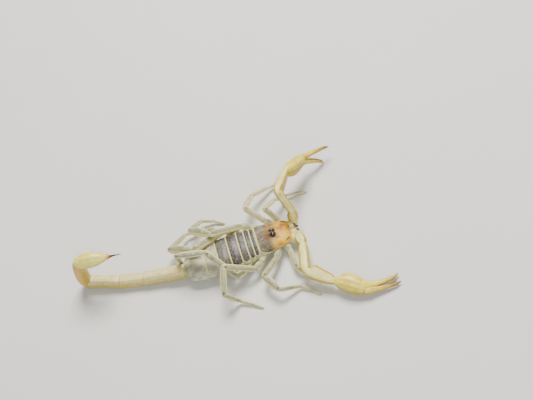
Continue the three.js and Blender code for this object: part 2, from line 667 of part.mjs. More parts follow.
// The last segment always comes down to the same height, so each foot stands on the floor.
function legPoses(name, side, index) {
  const poses = LEG_POSE[name][index].map((pose) => [...pose]);
  const height = poses.slice(0, 5).reduce(
    (sum, pose, k) => sum + LEG_LENGTHS[LEG_PARTS[k]][index] * direction(pose).z, LEG_ROOTS[index][2]);
  const drop = (FOOT_HEIGHT - height) / LEG_LENGTHS.telotarsus[index];
  poses[5][1] = Math.asin(drop) / RAD;
  return poses;
}

function buildLeg(name, side, index) {
  const [x, y, z] = LEG_ROOTS[index];
  const girth = LEG_GIRTHS[index];
  const poses = legPoses(name, side, index);
  const segments = {};
  let joint = new THREE.Vector3(x, side * y, z);
  LEG_PARTS.forEach((part, k) => {
    const along = direction(poses[k]);
    const length = LEG_LENGTHS[part][index];
    segments[part] = { start: joint.clone(), along, length };
    joint = joint.clone().addScaledVector(along, length);
    segments[part].end = joint.clone();
  });
  const rows = (part, k) => LEG_ROWS[part].map(([s, w, h]) => [k, s, w * girth, h * girth]);
  const { trochanter, femur, patella, tibia, basitarsus, telotarsus } = segments;
  const thigh = bentLimb([trochanter, femur], [...rows('trochanter', 0), ...rows('femur', 1)], 8);
  const hip = trochanter.start.clone().addScaledVector(trochanter.along, GAP / 2);
  thigh.trim(hip, trochanter.along.clone().negate());
  Object.assign(thigh, { along: femur.along, end: femur.end });
  const flat = limb(patella.length, LEG_ROWS.patella.map(([s, w, h]) => [s, w * girth, h * girth]));
  const knee = new Piece(flat, patella.start, turnAlong(patella.along, UP, side * LEG_ROLL));
  Object.assign(knee, patella);
  const shin = bentLimb([tibia, basitarsus, telotarsus],
    [...rows('tibia', 0), ...rows('basitarsus', 1), ...rows('telotarsus', 2)], 8);
  Object.assign(shin, { along: tibia.along, start: tibia.start });
  partAtJoint(thigh, knee);
  partAtJoint(knee, shin);
  settleOnFloor(shin);
  return { femur: thigh, patella: knee, tibia: shin };
}

// ---- the animal -----------------------------------------------------------------------
addPiece('carapace', buildCarapace(), 'carapace');
for (const [name, side] of [['right', -1], ['left', 1]]) {
  addSolid(`eye_${name}`, ball(EYE_PLACE.radius, EYE_PLACE.x, side * EYE_PLACE.y, EYE_PLACE.z), 'eye');
  addPiece(`chelicera_${name}`, buildChelicera(side), 'chelicera');
}
addPiece('prosoma_underside', buildProsomaUnderside(), 'belly');
for (let index = 0; index < 7; index += 1) {
  addPiece(`tergite_${index + 1}`, buildTergite(index), 'tergite');
}
addPiece('mesosoma_underside', buildBelly(), 'belly');
for (const [name, side] of [['right', -1], ['left', 1]]) {
  addPiece(`pecten_${name}`, buildPecten(side), 'pecten');
}

const tail = buildTail();
tail[0].trim(TAIL_ROOT.clone().addScaledVector(WAIST, GAP / 2), WAIST.clone().negate());
for (let k = 0; k + 1 < tail.length; k += 1) {
  partAtJoint(tail[k], tail[k + 1]);
}
tail.forEach((piece, k) => {
  settleOnFloor(piece);
  const name = ['telson_vesicle', 'telson_sting'][k - 5] ?? `metasoma_${k + 1}`;
  addPiece(name, piece, ['tail', 'tail', 'tail', 'tail', 'tailEnd', 'vesicle', 'sting'][k]);
});

for (const [name, side] of [['right', -1], ['left', 1]]) {
  const { pieces, finger } = buildPalp(name, side);
  ['trochanter', 'femur', 'patella', 'hand'].forEach((part, k) => {
    addPiece(`pedipalp_${name}_${part}`, pieces[k], 'palp');
  });
  addPiece(`pedipalp_${name}_finger`, finger, 'finger');
  for (let index = 0; index < 4; index += 1) {
    const leg = buildLeg(name, side, index);
    for (const part of ['femur', 'patella', 'tibia']) {
      addPiece(`leg_${name}_${index + 1}_${part}`, leg[part], 'leg');
    }
  }
}

// The origin is the middle of the footprint, on the floor.
const box = new THREE.Box3();
scorpion.updateMatrixWorld(true);
for (const mesh of scorpion.children) {
  box.union(new THREE.Box3().setFromObject(mesh, true));
}
const centre = box.getCenter(new THREE.Vector3());
scorpion.position.set(-centre.x, -centre.y, -box.min.z);

export default scorpion;
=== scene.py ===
import random

from math import asin, atan2, copysign, cos, exp, pi, sin

import bmesh
import bpy
from mathutils import Matrix, Vector, noise


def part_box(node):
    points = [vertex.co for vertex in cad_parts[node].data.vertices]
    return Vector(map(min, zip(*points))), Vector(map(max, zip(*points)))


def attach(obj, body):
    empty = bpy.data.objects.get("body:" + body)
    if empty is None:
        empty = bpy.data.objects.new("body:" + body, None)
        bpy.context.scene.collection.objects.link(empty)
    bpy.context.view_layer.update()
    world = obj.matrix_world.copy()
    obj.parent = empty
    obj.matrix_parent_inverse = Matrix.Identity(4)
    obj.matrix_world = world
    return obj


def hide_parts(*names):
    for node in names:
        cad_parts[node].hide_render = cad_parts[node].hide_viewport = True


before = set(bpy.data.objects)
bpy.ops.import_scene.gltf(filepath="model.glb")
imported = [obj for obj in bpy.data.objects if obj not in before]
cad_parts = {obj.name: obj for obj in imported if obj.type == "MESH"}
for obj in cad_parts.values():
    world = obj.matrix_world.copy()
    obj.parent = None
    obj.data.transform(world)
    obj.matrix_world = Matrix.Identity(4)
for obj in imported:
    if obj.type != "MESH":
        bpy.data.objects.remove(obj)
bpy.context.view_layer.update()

# ---- carapace ----
# The shield over the head and the leg bases: one thin glossy plate of chitin, honey coloured
# in front and smoky behind, with a notch in front and a pale rolled rim round its rear.
MM = 0.001
RAD = pi / 180
CARAPACE_FRONT = 4.5                      # places are in millimetres from just behind the eyes
CARAPACE_REAR = -3.9
SHIFT = Vector((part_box("carapace")[1].x - CARAPACE_FRONT * MM,
                (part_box("tergite_4")[0].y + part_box("tergite_4")[1].y) / 2, 0))
# stations of the trunk: x, half width, height of the back, height of the edge, height below
TRUNK = [
    (4.5, 2.65, 3.85, 3.0, 2.1), (3.4, 3.1, 4.3, 3.02, 1.5), (0.6, 3.6, 4.75, 3.08, 0.95),
    (-3.9, 4.1, 4.95, 3.15, 0.85), (-8.0, 4.65, 5.15, 3.15, 0.8), (-12.0, 4.6, 5.05, 3.05, 0.85),
    (-16.9, 4.25, 4.75, 2.95, 0.95), (-19.4, 3.85, 4.5, 2.85, 1.05), (-21.2, 3.1, 4.25, 2.75, 1.2),
    (-22.1, 1.9, 4.05, 2.7, 1.35),
]
BACK_ROUNDNESS = 2.3                      # 2 is an ellipse, more is squarer
CARAPACE_SWEEP = 5.6                      # millimetres round the shield from its middle to a side
CARAPACE_THICKNESS = 0.22
PLATE_RISE = 0.13                         # height of the hard plates over the skin's edge
SOFT_GLOW = (1.0, 0.75, 0.45)             # how far red, green and blue light spread in chitin
BOTH_SIDES = (("right", -1), ("left", 1))
CARAPACE_LENGTH = CARAPACE_FRONT - CARAPACE_REAR
EYE_MOUND = (0.3, 0.85, 0.72, 0.55)       # x of its top, half length, half width, height
MEDIAN_EYE = (0.45, 0.53, 5.0, 0.53)      # x, y, z, radius


def read(rows, at, column):
    """Smooth reading of one column of a table of stations."""
    last = len(rows) - 1
    falling = rows[0][0] > rows[last][0]
    k = 0
    while k < last - 1 and (at < rows[k + 1][0] if falling else at > rows[k + 1][0]):
        k += 1

    def slope(i):
        low, high = rows[max(i - 1, 0)], rows[min(i + 1, last)]
        return (high[column] - low[column]) / (high[0] - low[0])
    p, q = rows[k], rows[k + 1]
    span = q[0] - p[0]
    t = min(1.0, max(0.0, (at - p[0]) / span))
    return ((2 * t ** 3 - 3 * t ** 2 + 1) * p[column] + (t ** 3 - 2 * t ** 2 + t) * span * slope(k)
            + (3 * t ** 2 - 2 * t ** 3) * q[column] + (t ** 3 - t ** 2) * span * slope(k + 1))


def ease(value, low, high):
    t = min(1.0, max(0.0, (value - low) / (high - low)))
    return t * t * (3 - 2 * t)


def bell(value, width):
    return exp(-(value / width) ** 2)


def grain(point, pitch, seed=0.0):
    """Soft unevenness between -1 and 1 with features `pitch` millimetres apart."""
    return noise.noise(Vector((point[0] / pitch + seed, point[1] / pitch - seed, point[2] / pitch)))


def round_section(angle, wide, high, power):
    c, s = cos(angle), sin(angle)
    return (wide * copysign(abs(c) ** (2 / power), c), high * copysign(abs(s) ** (2 / power), s))


def in_metres(points):
    """Points of the animal in the shared frame, none of them under the floor."""
    return [Vector((p.x, p.y, max(p.z, 0.0))) * MM + SHIFT for p in points]


def in_scene(name, mesh, finish):
    made = bpy.data.objects.new(name, mesh)
    bpy.context.scene.collection.objects.link(made)
    made.data.materials.append(finish.material)
    return made


def fix(name, mesh, finish, nodes=()):
    """Add one finished piece to the animal in place of the solids that it stands for."""
    mesh.polygons.foreach_set("use_smooth", [True] * len(mesh.polygons))
    made = in_scene(name, mesh, finish)
    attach(made, "root")
    if nodes:
        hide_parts(*nodes)


class Shell:
    """Gathers the skins of one piece, in millimetres, with four painted values per point."""

    def __init__(self):
        self.points, self.faces, self.paint = [], [], []

    def rings(self, rings, paints, closed=True):
        first = len(self.points)
        sides = len(rings[0])
        for ring, paint in zip(rings, paints):
            self.points += ring
            self.paint += paint
        for r in range(len(rings) - 1):
            for k in range(sides):
                a, b = first + r * sides + k, first + r * sides + (k + 1) % sides
                self.faces.append((a, b, b + sides, a + sides))
        if closed:
            for start, ring, paint in ((first, rings[0], paints[0]),
                                       (first + (len(rings) - 1) * sides, rings[-1], paints[-1])):
                self.points.append(sum(ring, Vector()) / sides)
                self.paint.append(paint[0])
                middle = len(self.points) - 1
                self.faces += [(middle, start + k, start + (k + 1) % sides) for k in range(sides)]

    def plate(self, surface, thick, steps, across, paint, inward):
        """A thin plate from surface(u, t); `inward` gives the direction of its thickness."""
        rings, paints = [], []
        for i in range(steps + 1):
            u = i / steps
            top = [surface(u, -1 + 2 * k / across) for k in range(across + 1)]
            marks = [paint(u, -1 + 2 * k / across) for k in range(across + 1)]
            under = [p + inward(p) * thick for p in top]
            rings.append(top + under[::-1])
            paints.append(marks + marks[::-1])
        start = len(self.points)
        self.rings(rings, paints, closed=False)
        size = 2 * (across + 1)
        for base in (start, start + steps * size):
            for k in range(across):
                a, b = base + k, base + k + 1
                c, d = base + size - 2 - k, base + size - 1 - k
                self.faces.append((a, b, c, d))

    def piece(self, name, finish, slot, *nodes):
        mesh = bpy.data.meshes.new(name)
        mesh.from_pydata(in_metres(self.points), [], self.faces)
        skin = bmesh.new()
        skin.from_mesh(mesh)
        bmesh.ops.recalc_face_normals(skin, faces=skin.faces)
        skin.to_mesh(mesh)
        skin.free()
        for k, value in enumerate(("edge", "along", "spot", "keel")):
            layer = mesh.attributes.new(value, "FLOAT", "POINT")
            layer.data.foreach_set("value", [marks[k] for marks in self.paint])
        fix(name, mesh, finish, nodes)


class Signal:
    """A value that runs through a finish: sums and products of it add Math nodes."""

    def __init__(self, finish, socket):
        self.finish, self.socket = finish, socket

    def join(self, how, first, second):
        return self.finish.node("ShaderNodeMath", {"operation": how}, {0: first, 1: second})

    __add__ = __radd__ = lambda self, other: self.join("ADD", self, other)
    __mul__ = __rmul__ = lambda self, other: self.join("MULTIPLY", self, other)
    __sub__ = lambda self, other: self.join("SUBTRACT", self, other)
    __rsub__ = lambda self, other: self.join("SUBTRACT", other, self)


def tint(code):
    """Colour from a plain six-digit code, as light."""
    parts = [int(code[k:k + 2], 16) / 255 for k in (0, 2, 4)]
    return tuple(c / 12.92 if c <= 0.04045 else ((c + 0.055) / 1.055) ** 2.4 for c in parts) + (1.0,)


class Finish:
    """One material: a Principled surface and the nodes that feed it."""

    def __init__(self, name, **steady):
        self.material = bpy.data.materials.new(name)
        self.material.use_nodes = True
        self.tree = self.material.node_tree
        self.tree.nodes.clear()
        self.surface = self.tree.nodes.new("ShaderNodeBsdfPrincipled")
        out = self.tree.nodes.new("ShaderNodeOutputMaterial")
        self.tree.links.new(self.surface.outputs[0], out.inputs[0])
        self.set(subsurface_radius=SOFT_GLOW, **steady)
        where = self.node("ShaderNodeTexCoord", output="Object")
        self.where = self.node("ShaderNodeVectorMath", {"operation": "SCALE"}, {0: where, "Scale": 1 / MM})

    def node(self, kind, settings=None, inputs=None, output=0):
        made = self.tree.nodes.new(kind)
        for key, value in (settings or {}).items():
            setattr(made, key, value)
        for key, value in (inputs or {}).items():
            self.feed(made.inputs[key], value)
        return Signal(self, made.outputs[output])

    def feed(self, socket, value):
        if isinstance(value, Signal):
            self.tree.links.new(value.socket, socket)
        else:
            socket.default_value = tint(value) if isinstance(value, str) else value

    def set(self, **inputs):
        for key, value in inputs.items():
            self.feed(self.surface.inputs[key.replace("_", " ").title().replace("Ior", "IOR")], value)

    def painted(self, name):
        return self.node("ShaderNodeAttribute", {"attribute_name": name}, output="Fac")

    def cloud(self, per_mm, detail=3.0, rough=0.55, stretch=None):
        where = self.where
        if stretch:
            where = self.node("ShaderNodeVectorMath", {"operation": "MULTIPLY"}, {0: where, 1: stretch})
        return self.node("ShaderNodeTexNoise", None,
                         {"Vector": where, "Scale": per_mm, "Detail": detail, "Roughness": rough})

    def beads(self, per_mm):
        return self.node("ShaderNodeTexVoronoi", {"feature": "SMOOTH_F1"},
                         {"Vector": self.where, "Scale": per_mm, "Smoothness": 0.6})

    def between(self, value, low, high):
        return self.node("ShaderNodeMapRange", {"interpolation_type": "SMOOTHSTEP"},
                         {"Value": value, "From Min": low, "From Max": high})

    def mix(self, first, second, factor):
        return self.node("ShaderNodeMix", {"data_type": "RGBA"}, {0: factor, 6: first, 7: second}, output=2)

    def over(self, shade, *layers):
        """Lay further colours over a shade, each as (colour, amount)."""
        for code, amount in layers:
            shade = self.mix(shade, code, amount)
        return shade

    def relief(self, height, strength, depth=0.08):
        return self.node("ShaderNodeBump", None,
                         {"Strength": strength, "Distance": depth * MM, "Height": height})


def trunk_across(x, t, wide=1.0, reach=88.5):
    """A point on the back at station x, from t = -1 on the right edge to 1 on the left."""
    edge = read(TRUNK, x, 3)
    angle = (90 - reach * t) * RAD
    y, z = round_section(angle, read(TRUNK, x, 1) * wide, read(TRUNK, x, 2) - edge, BACK_ROUNDNESS)
    return Vector((x, y, edge + PLATE_RISE + z * 0.97))


def carapace_x(u, t):
    front = CARAPACE_FRONT - 0.3 * bell(t, 0.16) - 0.85 * ease(abs(t), 0.62, 1.0) ** 2
    rear = CARAPACE_REAR + 0.13 + 2.1 * ease(abs(t), 0.55, 1.05) ** 1.6
    return front + (rear - front) * u


def carapace_margin(u, t):
    """Distance in millimetres from the rear and side margins."""
    return carapace_x(u, t) - carapace_x(1, t), (1 - abs(t)) * CARAPACE_SWEEP


def carapace_surface(u, t):
    x = carapace_x(u, t)
    base = trunk_across(x, t)
    y = base.y
    behind, beside = carapace_margin(u, t)
    ahead = carapace_x(0, t) - x
    lift = 0.035 * grain(base, 0.55) + 0.03 * grain(base, 0.22, 3.0) * (1 - ease(-x, -1, 3))
    x0, half_length, half_width, height = EYE_MOUND
    mound = bell(x - x0, half_length) * bell(y, half_width)
    lift += height * mound
    lift -= 0.13 * bell(y, 0.2) * ease(-x, 0.6, 1.6) * ease(behind, 0.3, 1.2)
    lift -= 0.12 * bell(y, 0.28) * ease(x, 1.5, 2.6)
    groove = abs(y) - (0.75 + 0.32 * max(0.0, -0.6 - x))
    lift -= 0.11 * bell(groove, 0.2) * ease(-x, 0.4, 1.4) * ease(behind, 0.4, 1.3)
    side_groove = abs(y) - (1.3 + 0.38 * max(0.0, x - 0.2))
    lift -= 0.07 * bell(side_groove, 0.25) * ease(x, 0.1, 0.9) * ease(3.2 - x, 0.2, 1.4)
    lift -= 0.09 * bell(behind - 0.5, 0.16)
    lift += 0.05 * bell(behind - 0.18, 0.14) + 0.04 * bell(beside - 0.12, 0.12)
    lift -= 0.13 * (1 - ease(min(behind, beside, ahead), 0.0, 0.16))
    out = Vector((0, y / 5.5, 1)).normalized()
    return base + out * lift


def carapace_paint(u, t):
    behind, beside = carapace_margin(u, t)
    x = carapace_x(u, t)
    rim = max(1 - ease(behind, 0.2, 0.36), (1 - ease(beside, 0.14, 0.3)) * ease(-x, 0.2, 1.6))
    point = carapace_surface(u, t)
    ring = 0.0
    for side in (-1, 1):
        eye = Vector((MEDIAN_EYE[0], side * MEDIAN_EYE[1], MEDIAN_EYE[2]))
        ring = max(ring, 1 - ease((point - eye).length, MEDIAN_EYE[3] + 0.12, MEDIAN_EYE[3] + 0.36))
    cast = bell(x + 0.3, 1.7) * bell(abs(point.y) - 0.8, 1.0)
    return rim, (CARAPACE_FRONT - x) / CARAPACE_LENGTH, ring, cast


def inward_from(height):
    """The way in from the back, towards a line along the trunk at this height."""
    return lambda p: (Vector((p.x, 0, height)) - p).normalized()


carapace = Shell()
carapace.plate(carapace_surface, CARAPACE_THICKNESS, steps=110, across=110, paint=carapace_paint,
               inward=inward_from(2.6))

shield = Finish("carapace shell", subsurface_weight=0.22, subsurface_scale=0.7 * MM, coat_weight=0.12,
                coat_roughness=0.28, ior=1.48)
far = shield.painted("along")
drift = shield.cloud(0.45, 4.0)
fleck = shield.cloud(2.6, 5.0, 0.7)
speck = shield.cloud(7.0, 2.0)
honey = shield.mix("f8c020", "b47000", shield.between(drift, 0.4, 0.68))
smoke = shield.over("7e7662", ("544830", shield.between(drift, 0.36, 0.62)),
                    # pale lilac specks on the smoky rear: partly pale granules, partly painted glints of
                    # light
                    ("b4aca4", shield.between(fleck, 0.52, 0.74) * 0.5))
shade = shield.over(honey, (smoke, shield.between(far + (drift - 0.5) * 0.5, 0.3, 0.7)),
                    ("ffe878", shield.between(fleck, 0.52, 0.78) * 0.42),
                    ("7a4400", shield.between(speck, 0.6, 0.75) * 0.3),
                    ("744a0a", shield.painted("keel") * (0.5 + fleck * 0.8)),
                    ("fff494", shield.painted("edge") * 0.85), ("17120e", shield.painted("spot")))
shield.set(base_color=shade, roughness=0.38 + fleck * 0.3,
           normal=shield.relief(fleck * 0.6 + shield.beads(3.6) * 0.6 + speck * 0.5, 0.6, 0.07))
carapace.piece("carapace_shield", shield, "carapace_shell", "carapace")

# ---- eyes ----
# Two median eyes on the mound and three bead-like ones at each front corner: clear domed
# lenses over black pigment, set on the carapace.
CORNER_EYES = [(3.74, 2.28, 0.21), (3.36, 2.5, 0.19), (3.02, 2.66, 0.15)]

lens = Finish("eye lens", roughness=0.06, coat_weight=1.0, coat_roughness=0.03, ior=1.6)
depth = lens.cloud(1.6, 2.0)
lens.set(base_color=lens.mix("050405", "1c1718", lens.between(depth, 0.45, 0.7)),
         normal=lens.relief(lens.cloud(14.0, 1.0), 0.04, 0.02))


def add_dome(shell, centre, radius, paint=(0.0, 0.0, 0.0, 0.0), steps=16, sides=28):
    rings, paints = [], []
    for i in range(1, steps):
        turn = pi * i / steps
        ring = []
        for k in range(sides):
            around = 2 * pi * k / sides
            out = Vector((sin(turn) * cos(around), sin(turn) * sin(around), cos(turn)))
            ring.append(centre + out * radius)
        rings.append(ring)
        paints.append([paint] * sides)
    shell.rings(rings, paints)


for name, side in BOTH_SIDES:
    eye = Shell()
    x, y, z, radius = MEDIAN_EYE
    add_dome(eye, Vector((x, side * y, z)), radius)
    for x, y, radius in CORNER_EYES:
        wide = read(TRUNK, x, 1)
        t = side * asin(min(1.0, y / wide) ** (BACK_ROUNDNESS / 2)) / (pi / 2)
        add_dome(eye, trunk_across(x, t), radius, steps=10, sides=16)
    eye.piece(f"eye_{name}_lenses", lens, "eye", f"eye_{name}")

# ---- back plates ----
# Seven plates over the trunk, each lapping a little over the next: thin smoky chitin through
# which the body shows, with a cream rolled band along each rear margin.
PLATE_ENDS = [CARAPACE_REAR, -4.95, -6.3, -8.1, -10.7, -13.6, -16.9, -22.1]
PLATE_SHARE = 0.95                        # of the trunk's width
PLATE_REACH = 80                          # the plates end this many degrees down the side
PLATE_SWEEP = 5.2                         # millimetres round the back from its middle to a side
PLATE_THICKNESS = 0.12
BAND = 0.27                               # width of the cream band in millimetres

back = Finish("back shell", subsurface_weight=0.25, subsurface_scale=0.8 * MM, coat_weight=0.2,
              coat_roughness=0.26, ior=1.48)
drift = back.cloud(0.5, 4.0)
fleck = back.cloud(2.2, 5.0, 0.68)
thread = back.cloud(1.4, 4.0, 0.6, (2.6, 0.8, 1.0))
tone = back.painted("along")
smoke = back.over("504b46", ("302a26", back.between(drift, 0.36, 0.62)),
                  ("4e4038", back.between(thread, 0.45, 0.68) * 0.8))
olive = back.mix("c8c2a2", "98957a", back.between(drift, 0.38, 0.66))
shade = back.over(smoke, (olive, back.between(tone + (drift - 0.5) * 0.3, 0.62, 0.85)),
                  # pale lilac specks: partly the granules' own pale tone, partly painted glints of light
                  ("a8a6ac", back.between(fleck, 0.46, 0.76) * 0.6),
                  # the dark line painted along the groove before each cream band is painted shade
                  ("2e2820", back.painted("spot") * 0.7), ("fff68c", back.painted("edge")))
back.set(base_color=shade, roughness=0.36 + fleck * 0.28,
         normal=back.relief(fleck * 0.5 + thread * 0.5 + back.beads(3.6) * 0.35, 0.5, 0.07))


def back_plate(index):
    front, rear = PLATE_ENDS[index], PLATE_ENDS[index + 1]
    length = front - rear
    last = index == 6

    def station(u, t):
        lead = front - 0.1 - 0.25 * ease(abs(t), 0.7, 1.0)
        end = rear - (0.1 if not last else -0.12) + min(0.9, 0.45 * length) * ease(abs(t), 0.72, 1.05) ** 2
        return lead + (end - lead) * u

    def margins(u, t):
        x = station(u, t)
        return x, x - station(1, t), (1 - abs(t)) * PLATE_SWEEP

    def surface(u, t):
        x, behind, beside = margins(u, t)
        swell = 0.965 + 0.03 * ease(u, 0.0, 0.85)
        base = trunk_across(x, t, PLATE_SHARE, reach=PLATE_REACH)
        lift = -0.16 * (1 - ease(u, 0.0, 0.5)) + 0.03 * grain(base, 0.6) + 0.02 * grain(base, 0.25, 5.0)
        lift += 0.05 * bell(behind - 0.17, 0.13) - 0.05 * bell(behind - 0.42, 0.1)
        lift -= 0.1 * (1 - ease(min(behind, beside), 0.0, 0.13))
        lift += 0.035 * bell(base.y, 0.35) * (0 if last else 1)
        if last:
            for keel in (1.0, 2.35):
                lift += 0.07 * bell(abs(base.y) - keel * (1 - 0.35 * u), 0.12) * ease(u, 0.3, 0.6)
        out = Vector((0, base.y / 6, 1)).normalized()
        return Vector((base.x, base.y * swell / 0.99, base.z)) + out * lift

    def paint(u, t):
        x, behind, beside = margins(u, t)
        band = 1 - ease(behind, BAND * 0.75, BAND * 1.25)
        side = 0.5 * (1 - ease(beside, 0.1, 0.3))
        # dark line in the groove just in front of the cream band: painted shade in that groove
        fold = bell(behind - BAND * 1.5, 0.12) * 0.7
        return max(band * (0.35 if last else 1.0), side), index / 6, fold, 0.0

    shell = Shell()
    steps = max(24, int(length * 11))
    shell.plate(surface, PLATE_THICKNESS, steps, across=84, paint=paint, inward=inward_from(2.7))
    shell.piece(f"back_plate_{index + 1}", back, "back_shell", f"tergite_{index + 1}")


for index in range(7):
    back_plate(index)

# ---- soft body ----
# One pleated skin round the trunk: the pale greenish sides that fold between back and belly
# plates, and the thin web that joins every segment of legs, claws and tail.
soft = Finish("soft skin", subsurface_weight=0.35, subsurface_scale=0.9 * MM, coat_weight=0.12,
              coat_roughness=0.3, roughness=0.45, ior=1.42)
drift = soft.cloud(0.6, 4.0)
fleck = soft.cloud(3.0, 4.0, 0.65)
pleat = soft.cloud(1.0, 4.0, 0.6, (0.9, 2.6, 5.0))
shade = soft.over("d6d6b2", ("a6a88c", soft.between(drift, 0.36, 0.66)),
                  ("6c6c54", soft.between(pleat, 0.5, 0.72) * 0.45),
                  ("fff8a8", soft.between(fleck, 0.54, 0.74) * 0.45),
                  ("dcb830", soft.painted("spot") * 0.75))
soft.set(base_color=shade, roughness=0.4 + fleck * 0.2,
         normal=soft.relief(pleat * 0.8 + fleck * 0.4, 0.6, 0.09))

SIDES = 88
UP = Vector((0, 0, 1))
body = Shell()
rings, paints = [], []
stations = [4.25, 4.2, 4.1, 3.95] + [3.8 - 0.13 * k for k in range(199)] + [-21.98, -22.1, -22.25]
for i, x in enumerate(stations):
    shrink = {0: 0.3, 1: 0.62, 2: 0.82, 3: 0.93}.get(i, 1.0)
    shrink *= {len(stations) - 1: 0.45, len(stations) - 2: 0.75}.get(i, 1.0)
    wide, top, edge, low = (read(TRUNK, x, column) for column in (1, 2, 3, 4))
    crease = min(abs(x - end) for end in PLATE_ENDS[:-1])
    ring = []
    for k in range(SIDES):
        angle = 2 * pi * k / SIDES
        upper = sin(angle) > 0
        y, z = round_section(angle, wide * shrink, ((top - edge) * 0.9 if upper else edge - low) * shrink,
                             BACK_ROUNDNESS)
        flank = bell(sin(angle) - 0.05, 0.4)
        swell = 1.0 - 0.085 * ease(sin(angle), 0.06, 0.3) - 0.03 * flank * bell(crease, 0.22)
        swell += flank * 0.012 * sin(angle * 46 + 3 * grain((x, y, z), 1.6))
        swell += 0.008 * grain((x, y, z), 0.7, 2.0)
        tuck = 0.1 if x > CARAPACE_REAR and not upper else 0.0
        ring.append(Vector((x, y * (swell - tuck * 0.3), edge + z * swell)))
    rings.append(ring)
    paints.append([(0.0, 0.5, 0.0, 0.0)] * SIDES)
body.rings(rings, paints)


def web(centre, radius, along, warm=0.3):
    """The soft ball of a joint, with fine pleats round it."""
    side = UP.cross(along)
    side = (side if side.length > 0.1 else Vector((0, 1, 0)).cross(along)).normalized()
    above = along.cross(side)
    rings = []
    for i in range(1, 14):
        turn = pi * i / 14
        girth = radius * sin(turn) * (1 + 0.03 * cos(turn * 6))         # three shallow pleats
        rings.append([centre + along * (radius * cos(turn)) + side * (girth * cos(k * pi / 9))
                      + above * (girth * sin(k * pi / 9)) for k in range(18)])
    body.rings(rings, [[(0.0, 0.5, warm, 0.0)] * 18 for _ in rings])


# ---- limb segments and hip plates ----
# The hard bases of the legs, which fan out under the shield: short ridged tubes of pale
# chitin, wedged side by side and meeting at the breast.
COXA_STARTS = [2.4, 1.1, -0.9, -2.9]
LEG_ROOTS = [(2.5, 2.85, 2.3), (0.4, 3.9, 2.4), (-4.3, 5.1, 2.45), (-8.5, 5.4, 2.2)]
LEG_GIRTHS = [0.94, 1.02, 1.08, 1.1]
PALP_ROOT = (6.0, 2.2, 3.2)
# pale speckle over all hard chitin: partly a frosted look, partly painted glints of light
FROST_AND_GLINTS = "fffcdc"                          # pale speckle over all hard chitin
DOME_RINGS = 5                            # rings in the rounded end of a segment
FAR_SIDE = (105, 140)                     # degrees from the pale side over which a margin fades
setae = []                                # roots of the fine hairs: point, way, length, place on the skin
islands = [0]                             # tubes so far, each with a tile of its own in the hairs' map


def heading(azimuth, rise):
    flat = cos(rise * RAD)
    return Vector((flat * cos(azimuth * RAD), flat * sin(azimuth * RAD), sin(rise * RAD)))


def facing(along, top=UP, roll=0.0):
    """Columns: along the limb, across it, and above it."""
    side = top.cross(along).normalized()
    basis = Matrix((along, side, along.cross(side))).transposed()
    return basis @ Matrix.Rotation(roll * RAD, 3, "X")


def round_from(angle, at):
    """Degrees from the place `at`, in degrees, round to an angle in radians."""
    return (angle / RAD - at + 180) % 360 - 180


def both(angle, *keel):
    """One keel, and its match on the other side of the limb."""
    return [(angle, *keel), ((180 - angle) % 360, *keel)]


def look_round(axes, face):
    """The angle round a limb, in degrees, at which it looks the way `face`."""
    return atan2(face.dot(axes.col[2]), face.dot(axes.col[1])) / RAD


def tube(shell, stations, sides=36, power=2.2, keels=(), spots=(), domes=(0.5, 0.5), paint=None, hairs=(0, 0),
         face=None, brim=(38, 86)):
    """A skin through stations (centre, frame, y shift, half width, up, down, share of the length).

    keels: (angle, height, width in degrees, beads, from, to); spots: (share, angle, radius);
    face: the way that the pale side looks; brim: degrees from there at which its margins start
    and are full."""
    def point(station, angle, extra=0.0, shrink=1.0, push=0.0):
        centre, axes, shift, wide, up, down, share = station
        y, z = round_section(angle, wide * shrink, (up if sin(angle) > 0 else down) * shrink, power)
        out = Vector((0, cos(angle), sin(angle))) * extra
        return centre + axes @ (Vector((push, shift + y, z)) + out)

    def ridge(share, angle):
        height = colour = 0.0
        for at, rise, width, beads, start, end in keels:
            off = round_from(angle, at)
            window = ease(share, start, start + 0.06) * (1 - ease(share, end - 0.05, end))
            bead = 0.72 + 0.28 * sin(share * beads * 2 * pi) if beads else 1.0
            height += rise * bell(off, width) * window * bead
            colour = max(colour, bell(off, width) * window * (0.6 + 0.4 * bead))
        return height, colour

    marks = []
    for share, angle, radius in spots:
        near = min(stations, key=lambda st: abs(st[6] - share))
        marks.append((point(near, angle * RAD), radius))
    rings, paints = [], []

    def end_rings(station, sign, depth):
        size = min(station[3], (station[4] + station[5]) / 2) * depth
        turns = [(k + 0.5) / (DOME_RINGS + 0.2) * pi / 2 for k in range(DOME_RINGS)]
        return [(station, cos(turn), sign * size * sin(turn)) for turn in turns]

    plan = end_rings(stations[0], -1, domes[0])[::-1]
    plan += [(station, 1.0, 0.0) for station in stations]
    plan += end_rings(stations[-1], 1, domes[1])
    for station, shrink, push in plan:
        ring, row = [], []
        share = station[6]
        for k in range(sides):
            angle = 2 * pi * k / sides
            height, colour = ridge(share, angle)
            margin = 0.0
            if face:
                off = abs(round_from(angle, look_round(station[1], face)))
                margin = ease(off, *brim) * (1 - 0.6 * ease(off, *FAR_SIDE))
            here = point(station, angle, height * shrink, shrink, push)
            here += (here - station[0]) * 0.018 * grain(here, 0.8)
            spot = max([1 - ease((here - at).length, radius * 0.55, radius * 1.15) for at, radius in marks],
                       default=0.0)
            value = [margin, share, spot, colour]
            if paint:
                value = paint(share, angle, value)
            ring.append(here)
            row.append(tuple(value))
        rings.append(ring)
        paints.append(row)
    shell.rings(rings, paints)
    count, length = hairs
    island = islands[0]
    islands[0] += 1
    for _ in range(count):
        station = stations[random.randrange(1, len(stations) - 1)]
        angle = random.uniform(0, 2 * pi)
        root = point(station, angle, -0.02)
        out = (root - station[0] - station[1] @ Vector((0, station[2], 0))).normalized()
        lean = Vector((random.uniform(0.2, 0.9), random.uniform(-0.25, 0.25), 0))
        way = (out + station[1] @ lean).normalized()
        place = (island, station[6], angle / (2 * pi))
        setae.append((root, way, length * random.uniform(0.5, 1.2), place))


